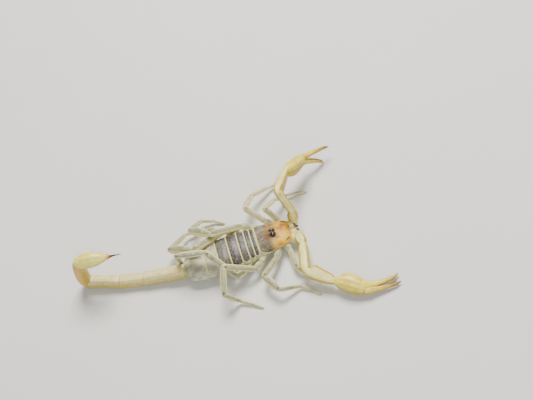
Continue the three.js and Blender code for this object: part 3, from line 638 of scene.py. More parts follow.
def straight(start, axes, length, rows, steps=30, bow=None, side=1):
    """Stations of a straight or bowed segment from rows (share, outer, inner, up, down)."""
    made = []
    for k in range(steps + 1):
        share = rows[0][0] + (rows[-1][0] - rows[0][0]) * k / steps
        outer, inner, up, down = (read(rows, share, column) for column in (1, 2, 3, 4))
        off = bow(share) if bow else (0.0, 0.0)
        centre = start + axes @ Vector((share * length, off[0], off[1]))
        made.append((centre, axes, side * (outer - inner) / 2, (outer + inner) / 2, up, down, share))
    return made


def even(rows, wide=1.0, deep=None):
    """Rows of a segment that is the same on both sides, from (share, half width, half depth)."""
    deep = deep or wide
    return [(share, w * wide, w * wide, h * deep, h * deep) for share, w, h in rows]


def chitin(name, pale, warm, edge, deep, tip=None, tip_span=(0.6, 1.0), gloss=0.3, flecks=0.3, edging=0.85,
           line=0.5):
    """Pale, slightly clear chitin: drifting tone, warm margins, fine keel lines, dark joint marks."""
    made = Finish(name, subsurface_weight=0.2, subsurface_scale=0.5 * MM, coat_weight=gloss,
                  coat_roughness=0.26, ior=1.5)
    drift = made.cloud(0.7, 4.0)
    fleck = made.cloud(3.2, 4.0, 0.66)
    frost_and_glints = made.cloud(1.9, 5.0, 0.8)
    speck = made.cloud(9.0, 2.0)
    margin = made.between(made.painted("edge") + (drift - 0.5) * 0.7 + (frost_and_glints - 0.5) * 0.8, 0.1, 0.95)
    shade = made.over(pale, (warm, made.between(drift, 0.42, 0.68) * 0.7),
                      # the pale frost specks, laid twice, are partly a frosted look and partly painted glints
                      # of light
                      (FROST_AND_GLINTS, made.between(frost_and_glints, 0.5, 0.64) * flecks), (edge, margin * edging),
                      (FROST_AND_GLINTS, made.between(frost_and_glints, 0.54, 0.7) * (flecks * 0.6)))
    if tip:
        shade = made.mix(shade, tip, made.between(made.painted("along") + (drift - 0.5) * 0.15, *tip_span))
    shade = made.over(shade, (made.mix(edge, deep, 0.35), made.painted("keel") * (0.45 + frost_and_glints) * line),
                      (deep, made.between(speck, 0.6, 0.76) * 0.2), (deep, made.painted("spot")))
    made.set(base_color=shade, roughness=0.3 + frost_and_glints * 0.3,
             normal=made.relief(fleck * 0.5 + speck * 0.4 + frost_and_glints * 0.9 + made.beads(3.6) * 0.5, 0.8, 0.08))
    return made


leg_chitin = chitin("leg shell", "a4a682", "787c64", "fff2a0", "6e3000", gloss=0.2, flecks=0.32, edging=0.95,
                    line=0.8)
# a paler copy of the leg shell, worn only by the first two left legs: painted light, for legs lying in
# brighter light
lit_leg_chitin = chitin("lit leg shell", "cac49a", "a49c7c", "fff0a8", "6e3000", gloss=0.25, flecks=0.35,
                          edging=0.9, line=0.8)
COXA_ROWS = [(-0.05, 0.8, 0.8), (0.2, 0.98, 0.95), (0.6, 1.08, 1.02), (0.88, 1.02, 1.0), (0.97, 0.9, 0.92)]


def between_points(start, end, rows):
    """Stations of a straight segment from one point to another."""
    way = Vector(end) - Vector(start)
    return straight(Vector(start), facing(way.normalized()), way.length, rows)


hips = Shell()
random.seed(11)
for side in (1, -1):
    for index, (x, y, z) in enumerate(LEG_ROOTS):
        rows = even(COXA_ROWS, 0.78 * LEG_GIRTHS[index])
        tube(hips, between_points((COXA_STARTS[index], side * 0.9, z - 0.6), (x, side * y, z), rows),
             keels=both(60, 0.06, 12, 0, 0.1, 0.98) + [(270, 0.05, 14, 0, 0.1, 0.98)])
hips.piece("hip_plates", leg_chitin, "leg_shell")

# ---- belly plates ----
# Breastplate, gill covers and five belly plates under the trunk, the first four of these with a
# pair of oval breathing slits, and the plate in front of the combs.
belly = chitin("belly shell", "c6c078", "9c9858", "f0e480", "3a2a18", gloss=0.25)
BELLY = [(-3.2, -4.6, 0.16), (-4.8, -5.6, 0.24), (-7.6, -9.8, 0.8), (-10.0, -12.6, 0.8),
         (-12.8, -15.2, 0.78), (-15.4, -17.8, 0.76), (-18.0, -21.6, 0.72)]
plates = Shell()


def belly_plate(front, rear, share, slits):
    def surface(u, t):
        x = front + (rear - front) * u
        edge, low = read(TRUNK, x, 3), read(TRUNK, x, 4)
        angle = (270 + 75 * t * share) * RAD
        y, z = round_section(angle, read(TRUNK, x, 1), edge - low, BACK_ROUNDNESS)
        margin = min(u, 1 - u, (1 - abs(t)) * 0.6) * (front - rear)
        lift = 0.02 - 0.09 * (1 - ease(margin, 0.0, 0.15))
        return Vector((x, y, edge + z - lift))

    def paint(u, t):
        near = min(u, 1 - u) * (front - rear)
        slit = bell(u - 0.45, 0.07) * bell(abs(t) - 0.62, 0.09) if slits else 0.0
        return 1 - ease(near, 0.1, 0.3), u, min(1.0, slit * 1.5), 0.0
    plates.plate(surface, thick=0.08, steps=26, across=56, paint=paint, inward=lambda p: UP)


for k, (front, rear, share) in enumerate(BELLY):
    belly_plate(front, rear, share, 2 <= k <= 5)
plates.piece("belly_plates", belly, "soft_skin")

# ---- combs ----
# The pair of feeler combs behind the hips: a jointed rib with a row of soft pale teeth that
# brush the ground, hinged at the middle plate.
comb_finish = chitin("comb shell", "f0e268", "d2be48", "d2a020", "5e3c10", gloss=0.2)
for name, side in BOTH_SIDES:
    comb = Shell()
    axes = facing(heading(side * 128, 0))
    start = Vector((-6.1, side * 0.55, 0.42))
    rows = even([(0, 0.26, 0.2), (0.1, 0.32, 0.24), (0.5, 0.34, 0.24), (0.9, 0.26, 0.2), (1, 0.2, 0.16)])
    tube(comb, straight(start, axes, 4.6, rows), sides=24,
         keels=[(180 if side > 0 else 0, 0.04, 25, 9, 0, 1), (90, 0.03, 20, 9, 0, 1)])
    for k in range(24):
        root = start + axes @ Vector((0.25 + k * 0.178, side * 0.18, -0.03))
        tooth = facing(axes @ Vector((0.22, side * 1.0, -0.12)).normalized())
        rows = even([(0, 0.075, 0.1), (0.3, 0.085, 0.11), (0.75, 0.09, 0.1), (1, 0.06, 0.06)])
        tube(comb, straight(root, tooth, 0.72, rows, steps=6), sides=10)
    comb.piece(f"comb_{name}", comb_finish, "comb_shell", f"pecten_{name}")

# ---- chelicerae ----
# Two small pincers in front of the mouth: swollen cream bases with a netted pattern and short
# red-brown toothed fingers.
mouth = chitin("mouth shell", "fae678", "c88c18", "b46e00", "46100a", tip="5c2010", tip_span=(0.2, 0.6),
               gloss=0.5)
TOOTH = even([(0, 0.07, 0.09), (0.6, 0.05, 0.06), (1, 0.02, 0.02)])
for name, side in BOTH_SIDES:
    jaw = Shell()
    axes = facing(heading(side * 3, -5))
    start = Vector((4.62, side * 0.8, 3.3))
    rows = even([(0, 0.5, 0.48), (0.25, 0.6, 0.58), (0.6, 0.64, 0.6), (0.85, 0.56, 0.52), (1.0, 0.42, 0.4)])
    tube(jaw, straight(start, axes, 1.3, rows), domes=(0.4, 0.5), hairs=(10, 0.35),
         paint=lambda share, angle, value: (0.0, share * (0.62 if side > 0 else 0.38), 0.0, 0.0))
    for spread, length in ((-1, 0.95), (1, 0.85)):
        root = start + axes @ Vector((1.12, spread * 0.27, -0.02))
        turn = facing(heading(side * 3 + spread * 6, -14))
        rows = even([(0, 0.3, 0.3), (0.4, 0.29, 0.29), (0.8, 0.19, 0.2), (1, 0.08, 0.08)])
        bow = lambda share, s=spread: (s * 0.16 * sin(pi * share), 0.0)
        tube(jaw, straight(root, turn, length, rows, steps=16, bow=bow), sides=20,
             paint=lambda share, angle, value: (0.0, 0.45 + 0.55 * share, 0.25 * share, 0.0))
        for k in range(2):
            tooth = root + turn @ Vector((length * (0.4 + 0.3 * k), -spread * 0.1, 0.0))
            point = facing(turn @ Vector((0.3, -spread, 0)).normalized())
            tube(jaw, straight(tooth, point, 0.17, TOOTH, steps=4), sides=8,
                 paint=lambda share, angle, value: (0.0, 1.0, 0.6, 0.0))
    jaw.piece(f"chelicera_{name}_pincer", mouth, "mouth_shell", f"chelicera_{name}")

# ---- claws ----
# The grasping arms: a knob at the hip, two keeled arm segments and a swollen hand with one
# fixed and one hinged finger, rows of dark granules on the fingers' biting edges.
PALP_LENGTHS = {"trochanter": 2.7, "femur": 7.1, "patella": 7.4, "palm": 8.4}
FINGER_LENGTHS = {"right": (7.5, 7.2), "left": (7.1, 6.4)}          # hinged, fixed
FINGER_STEPS = 44
# The azimuth and rise of each part, in degrees, and how far the parts turn about their length.
PALP_POSE = {
    "right": {"trochanter": (-83, 7), "femur": (-101, 2), "patella": (-42, -8), "palm": (-31, -7),
              "finger": (-3, -8), "fixed": (4, -9), "rolls": (0, 10, 12, 8, 8)},
    "left": {"trochanter": (58, 70), "femur": (117, 66), "patella": (65, -22), "palm": (43, -34),
             "finger": (17, -18), "fixed": (8, -41), "rolls": (0, 80, 88, 92, 92)},
}
KNOB = even([(-0.08, 0.8, 0.76), (0.1, 1.06, 0.98), (0.32, 1.22, 1.14), (0.6, 1.24, 1.14), (0.85, 1.14, 1.04),
             (1.02, 0.9, 0.86)])
ARM_FACE, HAND_FACE = Vector((0, -0.45, 1)), Vector((0, -0.25, 1))
# (share, outer half width, inner half width, half depth up, half depth down)
ARM = [(-0.03, 0.72, 0.72, 0.68, 0.68), (0.05, 0.9, 0.9, 0.82, 0.82), (0.14, 1.08, 1.08, 0.95, 0.93),
       (0.55, 1.18, 1.18, 1.0, 0.98), (0.88, 1.22, 1.22, 1.0, 0.98), (0.97, 1.14, 1.14, 0.95, 0.92),
       (1.03, 0.92, 0.92, 0.82, 0.82)]
FOREARM = [(-0.03, 0.76, 0.7, 0.72, 0.72), (0.05, 1.05, 0.78, 0.9, 0.88), (0.13, 1.4, 0.92, 1.05, 1.02),
           (0.19, 1.5, 1.4, 1.12, 1.1), (0.245, 1.53, 1.84, 1.18, 1.14), (0.3, 1.53, 1.8, 1.18, 1.14),
           (0.6, 1.45, 1.5, 1.12, 1.08), (0.82, 1.2, 1.3, 1.0, 0.97), (0.9, 1.05, 1.18, 0.95, 0.92),
           (0.96, 0.94, 0.92, 0.88, 0.86), (1.02, 0.82, 0.78, 0.8, 0.78)]
PALM = [(-0.02, 0.74, 0.74, 0.7, 0.7), (0.04, 0.98, 1.1, 0.98, 0.96), (0.1, 1.26, 1.6, 1.27, 1.24),
        (0.27, 1.74, 2.32, 1.63, 1.58), (0.44, 1.98, 2.42, 1.73, 1.68), (0.64, 2.03, 1.98, 1.63, 1.56),
        (0.8, 1.8, 1.5, 1.36, 1.32)]

arm_chitin = chitin("arm shell", "f6f09c", "ecd648", "c8a200", "5a2a00", gloss=0.3, flecks=0.5, edging=1.0)
hand_chitin = chitin("hand shell", "f8e650", "e4c618", "be9800", "501c00", tip="c09c08",
                     tip_span=(0.45, 1.0), gloss=0.3, flecks=0.35)
finger_chitin = chitin("finger shell", "ecd03c", "ccac14", "b48800", "480f00", tip="885810",
                       tip_span=(0.25, 1.0), gloss=0.35, flecks=0.2)

claw_bases = Shell()
for side in (1, -1):
    end = (PALP_ROOT[0] + 0.5, side * (PALP_ROOT[1] - 0.2), PALP_ROOT[2] - 0.25)
    rows = even([(-0.1, 0.8, 0.8), (0.3, 1.02, 0.9), (0.6, 1.1, 0.95), (0.9, 0.95, 0.88), (1.0, 0.8, 0.8)])
    tube(claw_bases, between_points((2.6, side * 1.35, 2.3), end, rows),
         keels=[(75, 0.07, 14, 6, 0.2, 0.98), (270, 0.05, 14, 0, 0.1, 0.98)], hairs=(14, 0.6))
claw_bases.piece("claw_bases", arm_chitin, "claw_shell")


def finger_stations(root, axes, length, bend, start, girth=1.0, swell=0.0):
    """A long curved finger; its tip hooks a little towards its partner."""
    made = []
    for k in range(FINGER_STEPS + 1):
        t = start + (1 - start) * k / FINGER_STEPS
        size = girth * (0.78 - 0.46 * max(0.0, t) ** 1.1 - 0.2 * ease(t, 0.85, 1.0))
        size += swell * (1 - ease(t, -0.06, 0.2))
        hook = -0.28 * copysign(1, bend) * ease(t, 0.82, 1.0)
        centre = root + axes @ Vector((t * length, bend * (t - t * t) + hook, 0.0))
        made.append((centre, axes, 0.0, size, size * 0.95, size * 0.95, t))
    return made


def bite_paint(at, dark, spread, start, full):
    """Paints the dark line along the edge with which a finger bites."""
    def paint(share, angle, value):
        value[2] = max(value[2], dark * bell(round_from(angle, at), spread) * ease(share, start, full))
        return value
    return paint


def biting_edge(shell, stations, angle, dark):
    """Dark granules in a row along the edge with which a finger bites."""
    for k, station in enumerate(stations):
        if k % 2 or not 3 < k < len(stations) - 3:
            continue
        centre, axes, _, wide, up, _, _ = station
        big = 1.6 if k % 8 == 0 else 1.0
        spot = centre + axes @ Vector((0, cos(angle) * wide, sin(angle) * up))
        add_dome(shell, spot, 0.075 * big, paint=(0.0, 0.9, dark, 0.0), steps=6, sides=8)


for name, side in BOTH_SIDES:
    pose, lengths = PALP_POSE[name], PALP_LENGTHS
    rolls = pose["rolls"]
    hinged_length, fixed_length = FINGER_LENGTHS[name]
    joint = Vector((PALP_ROOT[0], side * PALP_ROOT[1], PALP_ROOT[2]))
    web(joint, 0.95, heading(*pose["trochanter"]), warm=0.9)
    inner = 180 if side > 0 else 0
    outer = 180 - inner
    plan = [
        ("trochanter", KNOB, 2.2,
         both(40, 0.14, 11, 3, 0.15, 0.95) + [(90, 0.1, 10, 4, 0.15, 0.9)], (8, 0.5)),
        ("femur", ARM, 2.6,
         both(48, 0.09, 8, 12, 0.05, 0.97) + both(228, 0.07, 9, 12, 0.05, 0.97), (28, 0.7)),
        ("patella", FOREARM, 2.5, [(outer, 0.07, 10, 10, 0.08, 0.95), (inner, 0.1, 9, 8, 0.12, 0.9),
                                   (70, 0.06, 8, 10, 0.08, 0.95), (290, 0.05, 9, 0, 0.08, 0.95)], (28, 0.8)),
    ]
    for (part, rows, power, keels, hairs), roll in zip(plan, rolls):
        along = heading(*pose[part])
        axes = facing(along, roll=roll)
        arm = Shell()
        knee = [(0.95, outer, 0.2), (0.96, 90, 0.12)] if part != "trochanter" else [(0.9, outer, 0.16)]
        tube(arm, straight(joint, axes, lengths[part], rows, steps=52, side=side), sides=52, power=power,
             keels=keels, spots=knee, domes=(0.45, 0.5), hairs=hairs, face=ARM_FACE, brim=(20, 58))
        arm.piece(f"claw_arm_{name}_{part}", arm_chitin, "claw_shell", f"pedipalp_{name}_{part}")
        joint = joint + along * lengths[part]
        web(joint - along * 0.1, 0.82, along, warm=0.9)
    along = heading(*pose["palm"])
    axes = facing(along, roll=rolls[3])
    end = joint + along * lengths["palm"]
    across = axes @ Vector((0, 1, 0))
    fixed_root = end - across * (side * 0.62) - along * 0.6
    fixed_axes = facing(heading(*pose["fixed"]), roll=rolls[4])
    slim = 1.0 if side < 0 else 0.87
    palm = [(share, outside, inside, up * slim, down * slim) for share, outside, inside, up, down in PALM]
    palm_rows = straight(joint, axes, lengths["palm"], palm, steps=46, side=side)
    fixed = finger_stations(fixed_root, fixed_axes, fixed_length, side * 1.8, 0.06)
    first, goal = palm_rows[-1], fixed[0]
    bridge = []                           # the swelling where the palm runs into its fixed finger
    for k in range(1, 9):
        t = ease(k / 9, 0, 1)
        turn = axes.to_quaternion().slerp(fixed_axes.to_quaternion(), t).to_matrix()
        values = [a + (b - a) * t for a, b in zip(first[2:6], goal[2:6])]
        bridge.append((first[0].lerp(goal[0], k / 9), turn, *values, 0.0))
    wrist = palm_rows + bridge
    stations = [(*st[:6], 0.5 * k / len(wrist)) for k, st in enumerate(wrist)]
    stations += [(*st[:6], 0.5 + 0.5 * k / len(fixed)) for k, st in enumerate(fixed)]
    hand = Shell()
    bite = 0 if side > 0 else 180
    keels = [(outer, 0.07, 9, 0, 0.03, 0.44), (inner, 0.05, 10, 0, 0.03, 0.9),
             *both(58, 0.05, 7, 0, 0.04, 0.42), (90, 0.035, 7, 0, 0.04, 0.42),
             *both(238, 0.04, 8, 0, 0.04, 0.42)]
    tube(hand, stations, sides=60, power=2.3, keels=keels, spots=[(0.02, 90, 0.12)], domes=(0.35, 0.7),
         paint=bite_paint(bite, 0.85, 22, 0.55, 0.62), hairs=(60, 0.9), face=HAND_FACE)
    biting_edge(hand, fixed, bite * RAD, 0.35)
    hand.piece(f"claw_hand_{name}", hand_chitin, "claw_shell", f"pedipalp_{name}_hand")
    hinge = end + across * (side * 0.66) - along * 0.25
    axes = facing(heading(*pose["finger"]), roll=rolls[4])
    moving = finger_stations(hinge, axes, hinged_length, side * 0.6, -0.08, girth=0.88, swell=0.16)
    finger = Shell()
    tube(finger, moving, sides=40, keels=[(90, 0.04, 10, 0, 0.02, 0.8), (270, 0.04, 10, 0, 0.02, 0.8)],
         domes=(0.9, 0.7), paint=bite_paint(180 - bite, 0.9, 26, 0.08, 0.16), hairs=(26, 0.7), face=HAND_FACE)
    biting_edge(finger, moving, (180 - bite) * RAD, 0.9)
    finger.piece(f"claw_finger_{name}", finger_chitin, "finger_shell", f"pedipalp_{name}_finger")
    web(hinge, 0.52, along, warm=0.9)

# ---- legs ----
# Eight walking legs: flat keeled tubes of thin chitin, pale with tan ridges and red-brown
# pivots at the knees, and a slim two-part foot with a pair of hooked claws.
# The azimuth and rise of each part from hip to foot, in degrees. The last part has no rise
# here: it comes from the floor.
LEG_POSE = {
    "right": [
        [(-74, 2), (-87, -2), (-42, -21), (-30, -5), (-22, -3), -16],
        [(-121, 4), (-134, 12), (-60, -6), (4, -27), (-40, -10), -46],
        [(-139, 10), (171, 33), (-106, -14), (-6, -61), (-34, -9), -40],
        [(-151, 8), (131, 39), (159, -10), (90, -81), (168, -8), 163],
    ],
    "left": [
        [(88, -12), (139, 59), (47, -32), (32, -39), (0, -13), -14],
        [(122, -12), (137, 39), (61, -25), (25, -26), (16, -18), 14],
        [(160, 20), (-170, 25), (139, -16), (50, -34), (-12, -18), -34],
        [(157, 23), (-152, 21), (145, -20), (40, -19), (5, -16), -10],
    ],
}
# For each part: its length on legs 1 to 4, its keels (height, beads, from, to), its hairs (how
# many, how long), the radius of the soft joint before it, and its rows.
LEG_PARTS = {
    "trochanter": ((1.5, 1.8, 2.2, 2.4), (0.03, 0, 0.15, 0.95), (5, 0.35), 0.62, [
        (-0.1, 0.5, 0.5), (0.1, 0.66, 0.66), (0.4, 0.78, 0.8), (0.8, 0.74, 0.76), (0.96, 0.6, 0.62)]),
    "femur": ((5.3, 6.1, 8.1, 9.6), (0.05, 16, 0.04, 0.97), (20, 0.45), 0.5, [
        (-0.03, 0.46, 0.5), (0.03, 0.56, 0.62), (0.14, 0.62, 0.7), (0.5, 0.64, 0.74), (0.9, 0.66, 0.76),
        (0.97, 0.58, 0.68), (1.01, 0.46, 0.5)]),
    "patella": ((4.5, 5.1, 6.7, 7.8), (0.05, 12, 0.05, 0.96), (20, 0.5), 0.44, [
        (-0.02, 0.4, 0.44), (0.05, 0.5, 0.6), (0.16, 0.6, 0.8), (0.4, 0.68, 1.0), (0.6, 0.68, 1.02),
        (0.9, 0.56, 0.8), (0.97, 0.5, 0.66), (1.01, 0.4, 0.48)]),
    "tibia": ((4.7, 5.2, 5.2, 6.2), (0.035, 0, 0.05, 0.97), (30, 0.6), 0.4, [
        (-0.03, 0.36, 0.4), (0.06, 0.44, 0.5), (0.22, 0.5, 0.6), (0.75, 0.43, 0.48), (0.94, 0.38, 0.42),
        (1.0, 0.32, 0.35)]),
    "basitarsus": ((2.6, 2.9, 3.3, 4.2), (0.02, 0, 0.05, 0.95), (26, 0.5), 0.3, [
        (-0.03, 0.28, 0.31), (0.08, 0.35, 0.38), (0.5, 0.34, 0.36), (0.95, 0.29, 0.31), (1.0, 0.25, 0.26)]),
    "telotarsus": ((2.0, 2.2, 2.4, 2.7), (0.015, 0, 0.05, 0.95), (20, 0.4), 0.24, [
        (-0.03, 0.23, 0.24), (0.1, 0.3, 0.31), (0.6, 0.3, 0.32), (0.92, 0.25, 0.27), (1.0, 0.19, 0.2)]),
}
# the way in which the broad pale side of a leg looks: up, and outwards on the right
LEG_FACE = {-1: Vector((0, -0.45, 1)), 1: Vector((0, -0.1, 1))}
FOOT_HEIGHT = 0.2
LEG_ROLL, FOOT_ROLL = 38, 14              # degrees by which the flat segments lean


def leg_keels(look, height, beads, start, end):
    """Two keels along the margins of the broad side and one under the leg."""
    return [(look + off, height, width, beads, start, end) for off, width in ((68, 12), (-68, 12), (180, 11))]


def foot_claw(shell, tip, along, spread):
    """One of the two hooked claws at the end of a foot."""
    flat = Vector((along.x, along.y, 0)).normalized()
    axes = facing((flat + Vector((-flat.y, flat.x, 0)) * spread * 0.45).normalized())
    rows = even([(0, 0.085, 0.1), (0.4, 0.07, 0.08), (0.8, 0.04, 0.045), (1, 0.015, 0.015)])
    bow = lambda share: (0.0, 0.14 * sin(pi * share * 0.9) - 0.1 * share)
    tube(shell, straight(tip, axes, 0.55, rows, steps=10, bow=bow), sides=10,
         paint=lambda share, angle, value: (0.4, share, 0.3 + 0.5 * share, 0.0))


for name, side in BOTH_SIDES:
    for index, (x, y, z) in enumerate(LEG_ROOTS):
        poses = list(LEG_POSE[name][index])
        lengths = [part[0][index] for part in LEG_PARTS.values()]
        girth = LEG_GIRTHS[index]
        joint = Vector((x, side * y, z))
        height = z + sum(length * heading(*pose).z for length, pose in zip(lengths, poses[:5]))
        poses[5] = (poses[5], asin((FOOT_HEIGHT - height) / lengths[5]) / RAD)
        shells = {"femur": Shell(), "patella": Shell(), "tibia": Shell()}
        owner = {"trochanter": "femur", "basitarsus": "tibia", "telotarsus": "tibia"}
        for pose, length, (part, traits) in zip(poses, lengths, LEG_PARTS.items()):
            _, keels, hairs, radius, rows = traits
            along = heading(*pose)
            knee = part in ("femur", "patella")
            axes = facing(along, roll=side * (LEG_ROLL if knee else FOOT_ROLL))
            look = look_round(axes, LEG_FACE[side])
            spots = [(0.95, at, 0.27 * girth) for at in (look, look + 180)] if knee else []
            steps = 16 if part == "trochanter" else max(16, int(length * 6))
            tube(shells[owner.get(part, part)],
                 straight(joint, axes, length, even(rows, girth), steps=steps),
                 keels=leg_keels(look, *keels), spots=spots, domes=(0.5, 0.6), hairs=hairs,
                 face=LEG_FACE[side], brim=(30, 58))
            web(joint, radius * girth, along)
            joint = joint + along * length
        for spread in (-1, 1):
            foot_claw(shells["tibia"], joint - along * 0.08, along, spread)
        for part, label in (("femur", "thigh"), ("patella", "knee"), ("tibia", "shin_and_foot")):
            # the first two left legs take the paler, painted-light copy of the leg shell
            shells[part].piece(f"leg_{name}_{index + 1}_{label}",
                               lit_leg_chitin if side > 0 and index < 2 else leg_chitin, "leg_shell",
                               f"leg_{name}_{index + 1}_{part}")

# ---- tail ----
# Five tube-like segments with beaded keels, each flared at its rear rim; the last is longer,
# darker and bent upright. Soft rings join them.
TAIL_ROOT = Vector((-22.1, 0, 2.7))
TAIL_LENGTHS = [4.5, 6.1, 6.2, 8.9, 9.1]
TAIL_POSE = [(165, -8), (167, -4), (164, -1), (157, 0), (-8, 81.5)]       # azimuth, rise in degrees
TAIL_HALF_WIDTHS = [1.64, 1.52, 1.5, 1.44, 1.5]
TAIL_HALF_DEPTHS = [1.62, 1.66, 1.66, 1.64, 1.45]
VESICLE = {"pose": (-13, 4), "length": 8.2, "half_width": 2.0, "half_depth": 1.85}
STING = {"pose": (-16, 16), "length": 3.4}

tail_chitin = chitin("tail shell", "e2d89a", "d4c058", "ccac14", "5e3600", gloss=0.3, flecks=0.5, edging=0.8)
end_chitin = chitin("tail end shell", "c8a828", "9c7808", "e0ac18", "4a2800", gloss=0.35, flecks=0.25)
segment_rows = [(-0.03, 0.74, 0.74), (0.02, 0.88, 0.88), (0.08, 0.93, 0.93), (0.3, 0.95, 0.95),
                (0.6, 0.98, 0.98), (0.88, 1.01, 1.01), (0.95, 1.03, 1.02), (0.985, 1.0, 0.99),
                (1.01, 0.84, 0.84)]
last_rows = [(-0.03, 0.8, 0.8), (0.02, 0.94, 0.94), (0.1, 1.03, 1.03), (0.3, 1.09, 1.1), (0.6, 1.04, 1.08),
             (0.85, 0.94, 1.0), (0.95, 0.9, 0.96), (1.0, 0.8, 0.86)]
TAIL_KEELS = (both(62, 0.09, 7, 18, 0.04, 0.98) + both(20, 0.07, 7, 18, 0.05, 0.98)
              + both(200, 0.06, 8, 0, 0.05, 0.97) + both(245, 0.05, 8, 0, 0.05, 0.97))
END_KEELS = (both(35, 0.07, 9, 24, 0.04, 0.95) + both(215, 0.08, 8, 26, 0.04, 0.97)
             + [(270, 0.08, 8, 26, 0.04, 0.97)])


def rim_paint(share, angle, value):
    value[0] = max(value[0], 0.6 * ease(share, 0.92, 0.96), 0.4 * (1 - ease(share, 0.02, 0.06)))
    value[3] = max(value[3], 0.9 * bell(share - 0.925, 0.012))
    return value


def bent_on(axes, along):
    """The frame of the segment after axes's, bent to its own way without a twist."""
    return facing(along, axes.col[0].rotation_difference(along) @ (axes @ UP))


joint = TAIL_ROOT.copy()
axes = facing(heading(*TAIL_POSE[0]))
web(joint, 1.3, heading(*TAIL_POSE[0]), warm=0.5)
for k, pose in enumerate(TAIL_POSE):
    along = heading(*pose)
    axes = bent_on(axes, along) if k else axes
    last = k == 4
    rows = even(last_rows if last else segment_rows, TAIL_HALF_WIDTHS[k], TAIL_HALF_DEPTHS[k])
    ring_tail = Shell()
    bow = (lambda share: (0.0, -0.3 * sin(pi * share))) if last else None
    tube(ring_tail, straight(joint, axes, TAIL_LENGTHS[k], rows, steps=64, bow=bow), sides=72,
         power=2.25 if last else 2.6,
         keels=END_KEELS if last else TAIL_KEELS, domes=(0.3, 0.3), hairs=(22 if last else 14, 0.7),
         paint=rim_paint, face=Vector((1, -0.35, 0.3)) if last else Vector((0, -0.2, 1)))
    ring_tail.piece(f"tail_ring_{k + 1}", end_chitin if last else tail_chitin,
                    "tail_end_shell" if last else "tail_shell", f"metasoma_{k + 1}")
    joint = joint + along * TAIL_LENGTHS[k]
    web(joint - along * 0.1, 1.18 if k < 3 else 1.15, along, warm=0.9)

# ---- sting bulb ----
# The venom bulb, smooth and waxy with a few hairs, narrowing to the hooked sting: amber at
# its base and almost black at the needle point.
BULB = [(-0.04, 0.6), (0.0, 0.7), (0.06, 0.8), (0.16, 0.91), (0.3, 0.99), (0.42, 1.0), (0.56, 0.93),
        (0.7, 0.76), (0.82, 0.54), (0.92, 0.34), (1.0, 0.22)]
along = heading(*VESICLE["pose"])
axes = bent_on(axes, along)
stations = []
for k in range(79):
    t = -0.04 + 1.04 * k / 78
    full = read(BULB, t, 1)
    wide, deep = VESICLE["half_width"] * full, VESICLE["half_depth"] * full
    centre = joint + axes @ Vector((t * VESICLE["length"], 0, -0.12 * full))
    stations.append((centre, axes, 0.0, wide, deep * 0.74, deep * 1.22, t))
bulb = Shell()
tube(bulb, stations, sides=64, power=2.1, domes=(0.5, 0.4), hairs=(36, 0.8), face=Vector((0, -0.2, 1)),
     paint=lambda share, angle, value: (value[0], share, 0.0, value[3]),
     keels=[(270, 0.03, 12, 0, 0.1, 0.9)] + both(235, 0.02, 10, 0, 0.1, 0.85))
wax = chitin("bulb shell", "fff97c", "f6e440", "dcb018", "6e4000", tip="b87008", tip_span=(0.86, 1.0),
             gloss=0.7)
bulb.piece("sting_bulb", wax, "bulb_shell", "telson_vesicle")
joint = joint + along * VESICLE["length"]
axes = bent_on(axes, heading(*STING["pose"]))
NEEDLE = [(-0.12, 0.36), (0.0, 0.37), (0.12, 0.31), (0.3, 0.21), (0.6, 0.13), (0.88, 0.07), (1.0, 0.03)]
needle = Shell()
tube(needle, straight(joint, axes, STING["length"], even([(share, girth, girth) for share, girth in NEEDLE]),
                      steps=48, bow=lambda share: (0.0, -0.1 + 0.3 * share * share)),
     sides=28, domes=(0.5, 0.3))
thorn = chitin("sting shell", "b46000", "8c4200", "7a3400", "1c0f12", tip="1e0c12", tip_span=(0.0, 0.4),
               gloss=0.7, flecks=0.05)
needle.piece("sting_needle", thorn, "sting", "telson_sting")

body.piece("soft_body", soft, "soft_skin", "prosoma_underside", "mesosoma_underside")

# ---- hairs ----
# Fine amber feeler hairs, thinly set on legs, claws and tail, each a solid tapered bristle
# that leans towards the end of its limb.
HAIR_GIRTHS = ((0.0, 0.015), (0.5, 0.011))          # (share of the length, radius)
THIRD_OF_TURN = 2.0944                    # in radians
ROW_OF_TILES = 12                         # in the hairs' map; the tiles of its 13th row lie past its edge
TUFT = ((0, 0), (0.003, 0), (0.003, 0.003), (0, 0.003))
hair_points, hair_faces, hair_marks = [], [], []
for root, way, length, (island, share, turn) in setae:
    side = way.orthogonal().normalized()
    other = way.cross(side)
    base = len(hair_points)
    sag = Vector((0, 0, -0.12 * length))
    for step, girth in HAIR_GIRTHS:
        for k in range(3):
            around = side * cos(k * THIRD_OF_TURN) + other * sin(k * THIRD_OF_TURN)
            hair_points.append(root + way * (length * step) + sag * step * step + around * girth)
    hair_points.append(root + way * length + sag)
    for a, b in ((base, base + 1), (base + 1, base + 2), (base + 2, base)):
        hair_faces += [(a, b, b + 3, a + 3), (a + 3, b + 3, base + 6)]
    hair_faces.append((base + 2, base + 1, base))
    hair_marks += [(island, share, turn)] * 7
mesh = bpy.data.meshes.new("feeler_hairs")
mesh.from_pydata(in_metres(hair_points), [], hair_faces)
layer = mesh.uv_layers.new(name="OFBake")
for polygon, (island, share, turn) in zip(mesh.polygons, hair_marks):
    corner = Vector(((island % ROW_OF_TILES + 0.03 + 0.9 * min(1.0, max(0.0, share))) / ROW_OF_TILES,
                     (island // ROW_OF_TILES + 0.03 + 0.9 * turn) / ROW_OF_TILES))
    for loop, (across, along) in zip(polygon.loop_indices, TUFT):
        layer.data[loop].uv = (corner.x + across, corner.y + along)
bristle = Finish("hair", coat_weight=0.2, ior=1.5)
bristle.set(base_color=bristle.mix("b08c48", "805a20", bristle.between(bristle.cloud(0.8, 2.0), 0.4, 0.6)),
            roughness=0.35 + bristle.cloud(5.0) * 0.2)
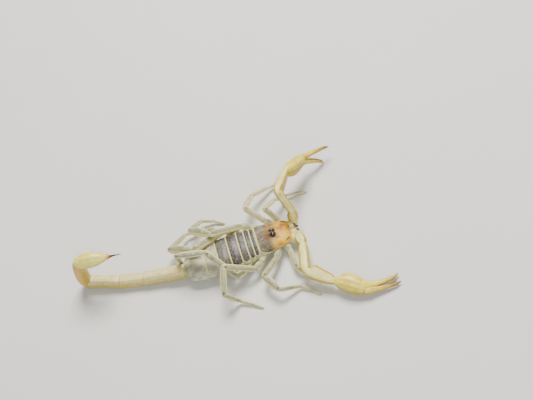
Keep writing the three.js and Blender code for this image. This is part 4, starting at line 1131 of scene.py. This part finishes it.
fix("feeler_hairs", mesh, bristle)

# ---- floor, light and camera ----
# A plain pale floor under one large soft lamp and a weaker one in front, seen from high on the
# animal's right with the head turned a little up.
ground = Finish("floor", roughness=0.85)
haze = ground.cloud(0.02, 2.0)
ground.set(base_color=ground.mix("dededb", "e4e4e1", haze))
FLOOR_HALF = 1.6                          # metres from its middle to an edge
corners = [(x * FLOOR_HALF, y * FLOOR_HALF, 0) for x, y in ((-1, -1), (1, -1), (1, 1), (-1, 1))]
mesh = bpy.data.meshes.new("floor")
mesh.from_pydata(corners, [], [(0, 1, 2, 3)])
in_scene("floor", mesh, ground)


def softbox(name, place, size, energy, colour):
    """A square lamp that looks at the middle of the floor."""
    lamp = bpy.data.lights.new(name, "AREA")
    lamp.size, lamp.energy, lamp.color = size, energy, colour
    made = bpy.data.objects.new(name, lamp)
    made.location = place
    made.rotation_euler = (-Vector(place)).to_track_quat("-Z", "Y").to_euler()
    bpy.context.scene.collection.objects.link(made)


softbox("key", (0.1, 0.2, 0.38), 0.2, 3.6, (1.0, 0.96, 0.89))
softbox("fill", (0.0, -0.35, 0.3), 0.4, 1.1, (0.95, 0.97, 1.0))
world = bpy.data.worlds.new("studio")
world.use_nodes = True
sky = world.node_tree.nodes["Background"].inputs
sky["Color"].default_value, sky["Strength"].default_value = (0.95, 0.97, 1.0, 1.0), 0.28
bpy.context.scene.world = world

LENS_PLACE = Vector((22.36, -149.06, 241.44))       # millimetres from the middle of the animal
LENS_RIGHT = Vector((0.9325, -0.2568, -0.2539))
LENS_UP = Vector((0.3537, 0.7916, 0.4982))
camera = bpy.data.cameras.new("camera")
camera.lens, camera.sensor_width = 81.05, 36
viewer = bpy.data.objects.new("camera", camera)
turned = Matrix((LENS_RIGHT, LENS_UP, LENS_RIGHT.cross(LENS_UP))).transposed().to_4x4()
viewer.matrix_world = Matrix.Translation(LENS_PLACE * MM + SHIFT) @ turned
bpy.context.scene.collection.objects.link(viewer)
bpy.context.scene.camera = viewer
